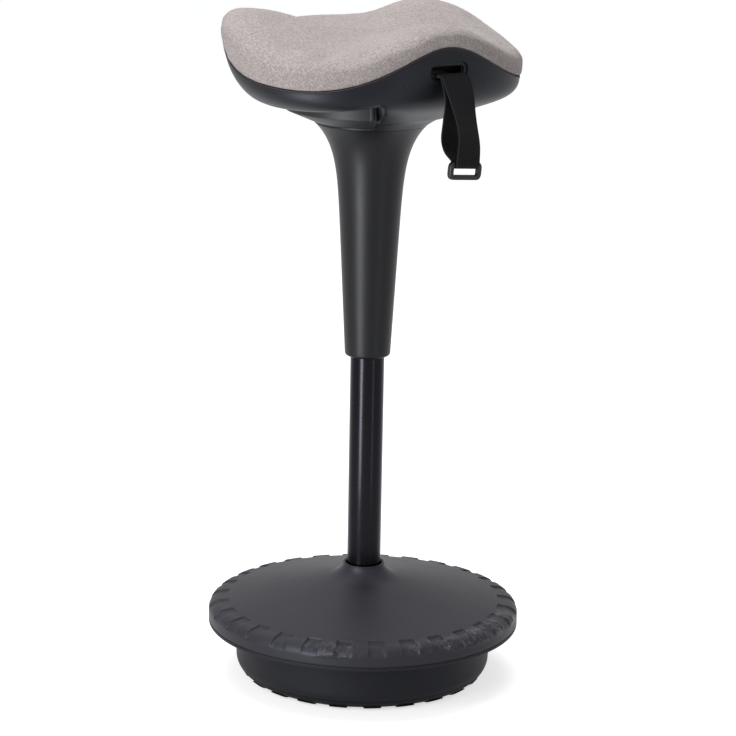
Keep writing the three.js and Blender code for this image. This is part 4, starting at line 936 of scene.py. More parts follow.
def stitch_tree() -> NodeTree:
    """Returns a tree that lays stitches along a path of edges."""
    sizes = dict.fromkeys(("Pitch", "Length", "Radius"), "NodeSocketFloat")
    made = NodeTree("stitches_along_path", sizes)
    path = made.node("GeometryNodeMeshToCurve", sockets={"Mesh": made.given()})
    spots = made.node("GeometryNodeCurveToPoints", {"mode": "LENGTH"}, {
        "Curve": path.outputs[0], "Length": made.given("Pitch")})
    thread = made.node("GeometryNodeMeshUVSphere", sockets={
        "Segments": 8, "Rings": 6, "Radius": made.given("Radius")})
    stretch = made.node("ShaderNodeMath", {"operation": "DIVIDE"}, {
        0: made.given("Length"), 1: made.given("Radius")})
    scale = made.node("ShaderNodeCombineXYZ", sockets={0: 1.0, 1: 1.0, 2: stretch.outputs[0]})
    placed = made.node("GeometryNodeInstanceOnPoints", sockets={
        "Points": spots.outputs[0], "Instance": thread.outputs[0],
        "Rotation": spots.outputs["Rotation"], "Scale": scale.outputs[0]})
    made.finish(placed.outputs[0])
    return made


def path_object(name: str, points: np.ndarray) -> Piece:
    """Makes an object of edges round a closed line of points in millimetres."""
    mesh = bpy.data.meshes.new(name)
    count = len(points)
    edges = [(i, (i + 1) % count) for i in range(count)]
    mesh.from_pydata((points * MM).tolist(), edges, [])
    return linked(name, mesh)


def bar(name: str, points: np.ndarray, finish: Finish, width: float, depth: float,
        corner: float) -> Piece:
    """Makes a rounded bar round a closed line.

    Args:
        name: the object's name.
        points: the line, in millimetres like all sizes here.
        finish: the bar's finish.
        width: size of its section across the line's plane.
        depth: size of its section the other way.
        corner: radius of the section's corners.

    Returns:
        The bar.
    """
    made = path_object(name, points)
    bar_tree().run(made, material_of(finish), Width=width * MM, Depth=depth * MM, Corner=corner * MM)
    tidy(made)
    return made


def place(piece: Piece, body: str, slot: str, *nodes: str, finish: Finish | None = None) -> None:
    """Dresses a piece, lets it ride on its body and lets it stand for nodes.

    Args:
        piece: the finished piece.
        body: the body that it moves with.
        slot: the record's material slot, not used.
        nodes: the nodes that it replaces.
        finish: its finish, if it doesn't have one yet.
    """
    if finish is not None:
        piece.data.materials.clear()
        piece.data.materials.append(material_of(finish))
    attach(piece, body)
    if nodes:
        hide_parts(*nodes)
    LOG.info("%s: %d faces on %s", piece.name, len(piece.data.polygons), body)


# Sub-assemblies


@dataclass
class WeightedBase:
    """Round foot: cover with its ring of rim recesses, bowl, and sole with lugs."""

    radius: float = 185.0
    flange_bottom: float = 64.0
    flange_top: float = 68.4
    gap: float = 0.3
    wall_top: float = 79.0
    shoulder: tuple[float, float] = (168.5, 91.2)
    cone_foot: tuple[float, float] = (45.0, 119.2)
    boss_radius: float = 24.6
    boss_top: float = 136.8
    boss_bore: float = 21.7
    wall: float = 3.2
    recess_count: int = 29
    recess_depth: float = 1.6
    recess_half: float = deg(3.0)
    recess_first: float = deg(5.7)
    recess_inner: float = 162.0
    recess_foot: float = 78.6
    recess_full: float = 86.0
    bowl_centre: tuple[float, float] = (130.0, 24.0)
    bowl_half: tuple[float, float] = (21.6, 22.0)
    bowl_top_radius: float = 152.8
    sole_thickness: float = 3.5
    sole_top: float = 14.0
    lug_count: int = 22
    lug_half: float = deg(4.15)
    lug_first: float = deg(14.35)
    lug_stand: float = 1.6
    lug_top: float = 5.2
    lug_inner: float = 112.0

    def build(self) -> None:
        """Builds, dresses and places the three visible pieces."""
        place(self.cover(), "base", "base_rubber", "base_cover", finish=FINISHES.cover)
        place(self.bowl(), "base", "base_plastic", "base_bowl", finish=FINISHES.bowl)
        place(self.sole(), "base", "rubber", "rubber_sole", finish=FINISHES.sole)

    def cover(self) -> Piece:
        """Returns the moulded cover, closed, with soft-edged recesses."""
        period = TURN / self.recess_count
        edge = self.recess_half
        soft = [edge - deg(0.30), edge - deg(0.12), edge - deg(0.03), edge + deg(0.06), edge + deg(0.16)]
        plain = np.linspace(edge + deg(0.55), period / 2, 4)
        half = [0.0, edge * 0.5, *soft, *plain]
        offsets = sorted({*half, *(-value for value in half[1:-1])})
        angles = np.concatenate([self.recess_first + i * period + np.array(offsets)
                                 for i in range(self.recess_count)])
        turn = (angles - self.recess_first + period / 2) % period - period / 2
        open_share = smooth((edge + deg(0.16) - np.abs(turn)) / deg(0.46))
        bottom = self.flange_top + self.gap
        outer: list[tuple[float, float, float]] = []
        for height in (bottom, bottom + 0.25, bottom + 0.7):
            outer.append((self.radius - 0.6 * (1 - (height - bottom) / 0.7) ** 2, height, 0.0))
        outer += square((self.radius, height) for height in (71.0, 74.0, 77.0))
        centre = (self.shoulder[0], self.wall_top)
        run, rise = self.radius - centre[0], self.shoulder[1] - centre[1]
        for r, z in arc(centre, (run, rise), 0.0, QUARTER, 22):
            fade = (z - self.recess_foot) / (self.recess_full - self.recess_foot)
            outer.append((r, z, float(smooth(fade))))
        slope = (self.cone_foot[1] - self.shoulder[1]) / (self.shoulder[0] - self.cone_foot[0])
        inner_end = self.recess_inner
        near = [(166.5, 1.0), (164.5, 1.0), (inner_end + 0.6, 1.0), (inner_end + 0.25, 0.9),
                (inner_end, 0.4), (inner_end - 0.25, 0.05), (inner_end - 0.6, 0.0)]
        near += [(r, 0.0) for r in np.linspace(inner_end - 3.0, self.cone_foot[0], 22)]
        outer += [(r, self.shoulder[1] + slope * (self.shoulder[0] - r), share) for r, share in near]
        reach = self.cone_foot[0] - self.boss_radius
        climb = self.boss_top - 1.1 - self.cone_foot[1] - slope * reach
        for step in range(1, 21):
            a = QUARTER * step / 20
            outer.append((self.cone_foot[0] - reach * math.sin(a),
                          self.cone_foot[1] + slope * reach * math.sin(a)
                          + climb * (1 - math.cos(a)), 0.0))
        lip = rounded([(self.boss_radius, self.boss_top - 1.4, 0), (self.boss_radius, self.boss_top, 1.2),
                       (self.boss_bore, self.boss_top, 1.2), (self.boss_bore, 116.0, 0)], False)
        outer += square(lip[1:])
        inner = arc(centre, (run - self.wall, rise - self.wall), QUARTER, 0.0, 6)
        outer += square([(self.cone_foot[0], self.cone_foot[1] - self.wall), *inner,
                         (self.radius - self.wall, bottom)])
        section = np.array(outer)
        share = open_share[:, None] * section[None, :, 2]
        radius = np.broadcast_to(section[:, 0], share.shape).copy()
        height = np.broadcast_to(section[:, 1], share.shape).copy()
        across = np.clip((radius - centre[0]) / run, 0.0, 1.0)
        up = np.clip((height - centre[1]) / rise, 0.0, 1.0)
        radius -= share * self.recess_depth * across
        height -= share * self.recess_depth * up
        faces = lattice_faces(len(angles), len(section), True)
        points = plan_points(angles[:, None], radius, height)
        return mesh_object("moulded_base_cover", points, faces, weld=0.002, sharp=55.0)

    def curve(self, offset: float, low: float, high: float,
              steps: int) -> list[tuple[float, float]]:
        """Returns the bowl's rounded side, moved outwards, between two heights."""
        half = [value + offset for value in self.bowl_half]
        start = math.asin(max(-1.0, (low - self.bowl_centre[1]) / half[1]))
        end = math.asin(min(1.0, (high - self.bowl_centre[1]) / half[1]))
        return arc(self.bowl_centre, half, start, end, steps)

    def bowl(self) -> Piece:
        """Returns the bowl with its outward flange."""
        rebate = self.sole_thickness + self.gap
        flat = self.bowl_centre[0] - 2.0
        outer = square([(0.0, rebate), (flat - self.gap, rebate),
                        *self.curve(-rebate, 5.8, self.sole_top + self.gap, 6)])
        side = self.curve(0.0, self.sole_top + self.gap, self.bowl_centre[1], 8)
        outer += [(r, z, 0.0 if i else 0.25) for i, (r, z) in enumerate(side)]
        outer += [(self.bowl_top_radius, self.flange_bottom, 4.5),
                  (self.radius, self.flange_bottom, 1.5), (self.radius, self.flange_top, 0.5),
                  (self.bowl_top_radius - self.wall, self.flange_top, 0.5),
                  (self.bowl_centre[0] + self.bowl_half[0] - self.wall, self.bowl_centre[1], 0.0)]
        inner = self.curve(-rebate - self.wall, 9.0, self.bowl_centre[1], 6)[::-1]
        outer += square([*inner[1:], (flat, rebate + self.wall), (0.0, rebate + self.wall)])
        return turned("moulded_base_bowl", rounded(outer, False, 6), 180)

    def sole(self) -> Piece:
        """Returns the rubber sole with its lugs."""
        flat = self.bowl_centre[0] - 2.0
        outline = [(0.0, 0.0), (flat, 0.0), *self.curve(0.0, 2.0, self.sole_top, 12),
                   *self.curve(-self.sole_thickness, 5.5, self.sole_top, 8)[::-1],
                   (flat, self.sole_thickness), (0.0, self.sole_thickness)]
        body = turned("moulded_rubber_sole", np.array(outline), 180)
        face = self.curve(self.lug_stand, 0.0, self.lug_top, 8)
        inset = self.curve(-1.2, 3.5, self.lug_top, 4)[::-1]
        section = np.array([(self.lug_inner, 0.0), *face, *inset, (self.lug_inner, 1.7)])
        angles = self.lug_first + np.linspace(-self.lug_half, self.lug_half, 7)
        points = plan_points(angles[:, None], section[None, :, 0], section[:, 1])
        lug = mesh_object("sole_lug", points, lattice_faces(*points.shape[:2], False, capped=True))
        bevel(lug, 0.5, 2, 50.0)
        ring_tree().run(lug, material_of(FINISHES.sole), Count=self.lug_count, Phase=0.0)
        return join(body, lug)


@dataclass
class Column:
    """Painted stand tube and the trumpet-shaped sleeve that slides over it."""

    tube_radius: float = 20.0
    tube_bottom: float = 14.0
    tube_top: float = 470.0
    sleeve_bottom: float = 391.0
    sleeve_top: float = 664.6
    foot_radius: float = 26.8
    foot_round: float = 3.4
    taper: float = 14.4
    top_radius: float = 64.2
    flare_power: float = 10.5
    sleeve_wall: float = 2.6
    mouth: float = 20.9

    def build(self) -> None:
        """Builds, dresses and places the tube and the sleeve."""
        place(self.tube(), "base", "black_steel", "stand_tube", finish=FINISHES.paint)
        place(self.sleeve(), "seat", "satin_plastic", "column_sleeve", finish=FINISHES.sleeve)

    def tube(self) -> Piece:
        """Returns the tube with its rounded mouth and its foot plate."""
        r, low, high = self.tube_radius, self.tube_bottom, self.tube_top
        corners = [(5.4, low, 0.4), (r, low, 1.0), (r, high, 0.8), (r - 1.5, high, 0.4),
                   (r - 1.5, low + 4.0, 0.6), (5.4, low + 4.0, 0.3)]
        return turned("painted_stand_tube", rounded(corners, True, 4), 96)

    def sleeve_radius(self, share: np.ndarray) -> np.ndarray:
        """Returns the sleeve's outer radius at a share of its height."""
        flare = self.top_radius - self.foot_radius - self.taper
        return self.foot_radius + self.taper * share + flare * share ** self.flare_power

    def sleeve(self) -> Piece:
        """Returns the sleeve, closed, with rounded foot and top edge."""
        foot = self.sleeve_bottom + self.foot_round
        rise = self.sleeve_top - foot
        shares = 1.0 - (1.0 - np.linspace(0.0, 1.0, 56)) ** 1.7
        outer = [(float(self.sleeve_radius(s)), foot + rise * float(s)) for s in shares]
        bottom = arc((self.foot_radius - self.foot_round, foot), (self.foot_round,) * 2, -QUARTER, 0, 7)
        inner = [(float(self.sleeve_radius(s)) - self.sleeve_wall,
                  foot + (rise + self.sleeve_wall) * float(s)) for s in shares[::-1] if s < 0.975]
        points = [(self.mouth, self.sleeve_bottom), *bottom, *outer[1:],
                  (self.top_radius - self.sleeve_wall, self.sleeve_top), *inner,
                  (self.mouth, foot - 0.3)]
        return turned("trumpet_column_sleeve", np.array(points), 144)


@dataclass
class SaddleSeat:
    """Saddle seat: padded cover, hem, moulded shell and the slot frame.

    The seam, the crest and the shell are functions of the plan angle. wall_power and wall_bend
    shape the shell's section: the value at the side, and how far it changes to the front.
    """

    half_width: float = 173.5
    half_depth: float = 144.0
    plan_power: float = 2.26
    joint_radius: float = 64.5
    joint_height: float = 665.0
    joint_bore: float = 61.2
    seam_low: float = 722.0
    seam_pommel: float = 45.0
    seam_wing: float = 47.0
    seam_side: float = 5.0
    seam_dip: float = 2.6
    crease: float = 1.0
    crest_low: float = 744.3
    crest_pommel: float = 44.6
    crest_wing: float = 48.5
    crest_rear: float = 29.1
    crest_saddle: float = 1.7
    centre_height: float = 767.0
    board_crown: float = 722.0
    bulge: float = 3.2
    bulge_share: float = 0.55
    edge_roll: float = 23.0
    shell_wall: float = 3.0
    shell_rise: float = 24.0
    shell_lean: float = 5.5
    lever_inner: float = 66.0
    lever_outer: float = 101.5
    lever_start: float = deg(34)
    lever_end: float = deg(152)
    recess_blend: float = deg(29.4)
    recess_step: float = 20.0
    recess_depth: float = 15.2
    recess_span: float = deg(3.6)
    recess_reach: float = 46.0
    recess_fade: float = 0.88
    recess_close: float = deg(5.0)
    lever_clearance: float = 1.4
    tongue_clearance: float = 3.2
    wall_power: tuple[float, float] = (3.65, 2.2)
    wall_bend: tuple[float, float] = (0.52, 0.245)
    shell_shoulder: float = 1.9
    slot_height: float = 741.7
    slot_half_length: float = 24.6
    slot_half_rise: float = 7.2
    slot_wall: float = 2.3
    slot_depth: float = 7.0
    hem_width: float = 1.1
    hem_drop: float = 0.72
    swell_voxel: float = 5.8
    swell_held: float = 5.0
    swell_limit: float = 2.6
    steps: int = 288

    def build(self) -> None:
        """Builds, dresses and places the seat's visible pieces."""
        cushion = self.cushion()
        place(cushion, "seat", "seat_fabric", "cushion_cover", "cushion_foam", finish=FINISHES.cloth)
        place(self.hem(), "seat", "seat_fabric")
        place(self.shell(), "seat", "satin_plastic", "seat_shell", finish=FINISHES.shell)
        place(self.slot_frame(), "seat", "satin_plastic", "slot_bezel")

    @staticmethod
    def bell(angle: np.ndarray, centre: float, spread: float) -> np.ndarray:
        """Returns a bell-shaped swell round an angle."""
        turn = np.arctan2(np.sin(angle - centre), np.cos(angle - centre))
        return np.exp(-((turn / spread) ** 2))

    def bells(self, angle: np.ndarray, centre: float, spread: float) -> np.ndarray:
        """Returns the same swell on both sides of the seat."""
        return self.bell(angle, centre, spread) + self.bell(angle, -centre, spread)

    def seam_radius(self, angle: np.ndarray) -> np.ndarray:
        """Returns the plan radius of the seam."""
        across = np.abs(np.sin(angle) / self.half_width) ** self.plan_power
        along = np.abs(np.cos(angle) / self.half_depth) ** self.plan_power
        return (across + along) ** (-1.0 / self.plan_power)

    def seam_height(self, angle: np.ndarray) -> np.ndarray:
        """Returns the height of the seam."""
        wings = self.bells(angle, deg(135), deg(32))
        sides = self.bells(angle, deg(112), deg(14))
        dips = self.bells(angle, deg(57), deg(18))
        return (self.seam_low + self.seam_pommel * self.bell(angle, 0.0, deg(32))
                + self.seam_wing * wings + self.seam_side * sides - self.seam_dip * dips)

    def crest_height(self, angle: np.ndarray) -> np.ndarray:
        """Returns the height of the crest inside the rolled edge."""
        wings = np.zeros_like(angle)
        for side in (-1.0, 1.0):
            centre = side * deg(120.2)
            turn = side * np.arctan2(np.sin(angle - centre), np.cos(angle - centre))
            wings += np.exp(-((turn / np.where(turn > 0, deg(29), deg(42.8))) ** 2))
            wings += self.crest_saddle / self.crest_wing * self.bell(angle, side * deg(161), deg(13))
        return (self.crest_low + self.crest_pommel * self.bell(angle, 0.0, deg(40.4))
                + self.crest_wing * wings + self.crest_rear * self.bell(angle, math.pi, deg(35)))

    def cushion_section(self, angle: np.ndarray, fine: int) -> np.ndarray:
        """Returns the cover from the seam over the roll to the centre.

        Args:
            angle: plan angles.
            fine: points on the inner part of each section.

        Returns:
            Radius and height, as angles by points by two.
        """
        seam = self.seam_height(angle) + self.crease
        crest = self.crest_height(angle)
        radius = self.seam_radius(angle)
        belly = seam + self.bulge_share * (crest - seam)
        widest = radius + self.bulge
        rows = []
        for share in np.linspace(0.0, 1.0, fine // 3, endpoint=False):
            turn = QUARTER * share
            rows.append((radius + self.bulge * math.sin(turn), belly - (belly - seam) * math.cos(turn)))
        for share in np.linspace(0.0, 1.0, fine // 2, endpoint=False):
            turn = QUARTER * share
            rows.append((widest - self.edge_roll * (1 - math.cos(turn)),
                         belly + (crest - belly) * math.sin(turn)))
        reach = widest - self.edge_roll
        for share in np.linspace(0.0, 1.0, fine):
            eased = smooth(share)
            rows.append((reach * (1 - share), crest + (self.centre_height - crest) * eased))
        return np.stack([np.stack(row, 1) for row in rows], 1)

    def board_height(self, angle: np.ndarray, share: float) -> np.ndarray:
        """Returns the height of the board under the foam."""
        return self.board_crown + (self.seam_height(angle) - self.board_crown) * share ** 2.4

    def cushion_lattice(self, steps: int,
                        fine: int) -> tuple[np.ndarray, np.ndarray, list[tuple[int, ...]]]:
        """Lays out the closed cushion.

        Args:
            steps: sections in the full turn.
            fine: points on the inner part of each section.

        Returns:
            Points in millimetres, places on the flat cloth in metres, and faces.
        """
        angle = np.arange(steps) * TURN / steps
        upper = self.cushion_section(angle, fine)
        seam_r, seam_z = self.seam_radius(angle), self.seam_height(angle)
        lower = [(seam_r - 1.0, seam_z + self.crease - 0.1), (seam_r - 3.6, seam_z + 0.3)]
        for part in (0.925, 0.72, 0.37, 0.0):
            lower.append((part * seam_r, self.board_height(angle, part) + 0.3))
        under = np.stack([np.stack(row, 1) for row in lower[::-1]], 1)
        section = np.concatenate([under, upper], axis=1)
        run = np.linalg.norm(np.diff(section, axis=1), axis=2)
        along = np.concatenate([np.zeros((steps, 1)), np.cumsum(run, axis=1)], axis=1)
        out = along[:, -1:] - along
        points = plan_points(angle[:, None], section[:, :, 0], section[:, :, 1])
        cloth = np.stack(plan(angle[:, None], out), 2) * MM
        return points, cloth, lattice_faces(steps, section.shape[1], True, False)

    def cushion(self) -> Piece:
        """Returns the padded cover, swollen by a cloth simulation and puckered at its hem."""
        points, uv, faces = self.cushion_lattice(self.steps, 48)
        shape = points.shape
        flat = points.reshape(-1, 3)
        flat = flat + self.swelling(flat)
        angle = np.arctan2(-flat[:, 0], -flat[:, 1])
        above = flat[:, 2] - self.seam_height(angle)
        near_edge = np.hypot(flat[:, 0], flat[:, 1]) / self.seam_radius(angle)
        hold = smooth((near_edge - 0.90) / 0.08) * np.exp(-np.clip(above, 0, None) / 11.0)
        hold *= smooth(above / 2.2)
        ripple = sum(size * np.sin(count * angle + phase) for count, phase, size in (
            (53, 0.4, 0.22), (87, 1.9, 0.20), (131, 4.1, 0.14), (31, 2.6, 0.22)))
        scale = 1.0 + hold * ripple / np.maximum(np.hypot(flat[:, 0], flat[:, 1]), 1.0)
        flat = flat.copy()
        flat[:, :2] *= scale[:, None]
        return mesh_object("padded_seat_cushion", flat.reshape(shape), faces, uv, sharp=75.0)

    def swelling(self, fine: np.ndarray) -> np.ndarray:
        """Works out how the stuffed cover swells under pressure.

        Args:
            fine: points of the final cover, in millimetres.

        Returns:
            How far each point moves, in millimetres.
        """
        points, _, faces = self.cushion_lattice(72, 18)
        body = mesh_object("cushion_blank", points * 0.998 + np.array([0, 0, 1.4]), faces)
        remesh = body.modifiers.new("even", "REMESH")
        remesh.mode = "VOXEL"
        remesh.voxel_size = self.swell_voxel * MM
        settle(body)
        count = len(body.data.vertices)
        rest = np.empty(count * 3)
        body.data.vertices.foreach_get("co", rest)
        rest = rest.reshape(-1, 3)
        angle = np.arctan2(-rest[:, 0], -rest[:, 1])
        height = rest[:, 2] / MM - self.seam_height(angle)
        held = body.vertex_groups.new(name="held")
        fixed = np.nonzero(height < self.swell_held)[0]
        held.add([int(i) for i in fixed], 1.0, "REPLACE")
        cloth = body.modifiers.new("cover", "CLOTH").settings
        for key, value in {
                "quality": 5, "mass": 0.25, "tension_stiffness": 40.0, "compression_stiffness": 30.0,
                "bending_stiffness": 2.0, "use_pressure": True, "uniform_pressure_force": 4.0,
                "vertex_group_mass": held.name}.items():
            setattr(cloth, key, value)
        cloth.effector_weights.gravity = 0.0
        scene = bpy.context.scene
        for step in range(1, 21):
            scene.frame_set(step)
        settle(body)
        moved = np.empty(count * 3)
        body.data.vertices.foreach_get("co", moved)
        shift = (moved.reshape(-1, 3) - rest) / MM
        bpy.data.objects.remove(body)
        scene.frame_set(1)
        length = np.linalg.norm(shift, axis=1, keepdims=True)
        shift *= np.minimum(1.0, self.swell_limit / np.maximum(length, 1e-6))
        tree = KDTree(count)
        for i, spot in enumerate(rest):
            tree.insert(spot, i)
        tree.balance()
        found = np.zeros_like(fine)
        for i, spot in enumerate(fine * MM):
            near = tree.find_n(spot, 5)
            weights = np.array([1.0 / (distance + 0.0015) for _, _, distance in near])
            found[i] = weights @ shift[[index for _, index, _ in near]] / weights.sum()
        LOG.info("cushion swells by %.2f mm on average", float(np.linalg.norm(found, axis=1).mean()))
        return found

    def hem(self) -> Piece:
        """Returns the thin cord in the hem, just above the shell's edge."""
        angle = np.arange(self.steps) * TURN / self.steps
        points = plan_points(angle, self.seam_radius(angle) - 0.15, self.seam_height(angle) - self.hem_drop)
        return bar("seat_hem_cord", points, FINISHES.hem, self.hem_width, self.hem_width, 0.5)

    def finger_recess(self, angle: np.ndarray, radius: np.ndarray) -> np.ndarray:
        """Returns how far the finger recess over the lever is open, from 0 to 1."""
        start = self.lever_start - deg(2.0)
        turn = (angle - start) / (self.lever_end - start)
        swell = 1.0 - self.recess_fade * np.clip(turn, 0.0, 1.0)
        swell = swell * smooth((angle - self.recess_blend) / self.recess_span)
        swell = swell * smooth((self.lever_end - angle) / self.recess_close)
        outwards = 1.0 - (radius - self.lever_outer - 10.0) / self.recess_reach
        inwards = (radius - self.lever_outer + self.recess_step) / (self.recess_step + 2.5)
        return swell * smooth(np.minimum(outwards, inwards))

    def shell_height(self, angle: np.ndarray, share: np.ndarray, radius: np.ndarray) -> np.ndarray:
        """Returns the height of the shell's outer surface.

        Args:
            angle: plan angle.
            share: share of the way from the joint to the seam.
            radius: plan radius.

        Returns:
            The height.
        """
        rise = self.shell_rise + self.shell_lean * np.cos(angle)
        cone = np.sin(QUARTER * np.clip(share / 0.97, 0.0, 1.0))
        power = self.wall_power[0] + self.wall_power[1] * np.cos(angle)
        bend = self.wall_bend[0] - self.wall_bend[1] * np.cos(angle)
        wall = 1.0 - (1.0 - np.clip(share, 0.0, 1.0) ** power) ** bend
        seam = self.seam_height(angle) - self.joint_height - rise
        shoulder = self.shell_shoulder * np.sin(math.pi * np.clip(share / 0.25, 0.0, 1.0))
        return (self.joint_height + rise * cone + seam * wall + shoulder
                + self.recess_depth * self.finger_recess(angle, radius))

    def shell(self) -> Piece:
        """Returns the moulded shell, cut for the lever and the slot."""
        dense = np.concatenate([np.arange(deg(30.0), deg(36.0), deg(0.4)),
                                np.arange(deg(145.0), deg(153.0), deg(1.0))])
        even = np.arange(240) * TURN / 240
        far = np.array([a for a in even if np.min(np.abs(dense - a)) > deg(0.6)])
        angle = np.sort(np.concatenate([far, dense]))
        signed = np.where(angle > math.pi, angle - TURN, angle)
        seam = self.seam_radius(signed)
        rim = self.lever_outer + self.lever_clearance
        outer_shares = [(0, s) for s in np.linspace(0, 1, 10)]
        outer_shares += [(1, 1 - (1 - s) ** 2.2) for s in np.linspace(0, 1, 44)[1:]]
        rows = []
        for part, share in outer_shares:
            low, high = (self.joint_radius, rim) if part == 0 else (rim, seam)
            radius = low + (high - low) * share + 0.0 * seam
            along = (radius - self.joint_radius) / (seam - self.joint_radius)
            rows.append((radius, self.shell_height(signed, along, radius)))
        edge = seam - self.shell_wall
        top = rows.pop()[1]
        bead = [(0.05, -3.3), (0.32, -2.9), (0.5, -2.4), (0.5, -1.95), (0.3, -1.5), (-0.2, -1.3),
                (-1.3, -1.25), (-1.5, 0.0)]
        rows = [(radius, np.minimum(height, top - 3.3)) for radius, height in rows]
        rows += [(seam + out, top + up) for out, up in bead]
        inner_radii = [edge + (rim - edge) * s for s in (0, 0.03, 0.07, 0.14, 0.26, 0.42, 0.6, 0.8, 1)]
        inner_radii += [rim + (self.joint_bore - rim) * s for s in (0.25, 0.5, 0.75, 1)]
        for radius in inner_radii:
            radius = radius + 0.0 * seam
            inward = (radius - self.joint_bore) / (edge - self.joint_bore)
            along = np.maximum(0.0, (radius - self.joint_radius) / (seam - self.joint_radius))
            lift = self.shell_wall * (1.0 - inward ** 6)
            surface = self.shell_height(signed, along, radius)
            surface = np.where(inward > 0.9999, self.seam_height(signed), surface)
            rows.append((radius, surface + lift))
        section = np.stack([np.stack(row, 1) for row in rows], 1)
        points = plan_points(signed[:, None], section[:, :, 0], section[:, :, 1])
        body = mesh_object("moulded_seat_shell", points, lattice_faces(*points.shape[:2], True),
                           sharp=30.0)
        cut(body, self.slot_cutter(), self.lever_cutter())
        tidy(body, 0.001, 32.0)
        return body

    @staticmethod
    def slot_outline(half_length: float, half_rise: float, steps: int = 12) -> np.ndarray:
        """Returns the rounded outline of the slot, as x and height from its middle."""
        middle = half_length - half_rise
        points = []
        for side in (1.0, -1.0):
            for turn in np.linspace(-QUARTER, QUARTER, steps + 1):
                points.append((side * (middle + half_rise * math.cos(turn)),
                               side * half_rise * math.sin(turn)))
        return np.array(points)

    def at_depth(self, outline: np.ndarray, depth: float) -> np.ndarray:
        """Returns the slot's outline at a depth of the seat."""
        return np.stack([outline[:, 0], np.full(len(outline), depth), outline[:, 1] + self.slot_height], 1)

    def slot_cutter(self) -> Piece:
        """Returns the bar that cuts the slot."""
        grow = self.slot_wall + 0.3
        outline = self.slot_outline(self.slot_half_length + grow, self.slot_half_rise + grow)
        rows = [self.at_depth(outline, depth) for depth in (-150.0, -109.0)]
        faces = lattice_faces(2, len(outline), False, capped=True)
        return mesh_object("slot_cutter", np.array(rows), faces)

    def lever_cutter(self) -> Piece:
        """Returns the curved block that cuts the opening for the lever."""
        low, high = self.lever_inner - 0.5, self.lever_outer + self.lever_clearance
        start = self.lever_start - self.tongue_clearance / self.lever_outer
        end = self.lever_end + self.lever_clearance / self.lever_outer
        angles = np.linspace(start, end, 90)
        section = np.array([(low, 655.0), (high, 655.0), (high, 741.0), (low, 741.0)])
        points = plan_points(angles[:, None], section[None, :, 0], section[:, 1])
        return mesh_object("lever_cutter", points, lattice_faces(len(angles), 4, False, capped=True))

    def slot_frame(self) -> Piece:
        """Returns the frame that lines the slot, with a proud outer lip and a stepped inner one."""
        lips = []
        for name, inside, front in (("rounded_slot_frame", 0.5, 0.35), ("inner_slot_lip", 0.0, -2.3)):
            grow = self.slot_wall * (0.25 + inside)
            outline = self.slot_outline(self.slot_half_length + grow, self.slot_half_rise + grow, 16)
            middle = -(self.half_depth - 0.6 + front) + self.slot_depth / 2
            points = self.at_depth(outline, middle)
            lips.append(bar(name, points, FINISHES.bezel, self.slot_wall * 0.56, self.slot_depth, 0.6))
        return join(*lips)


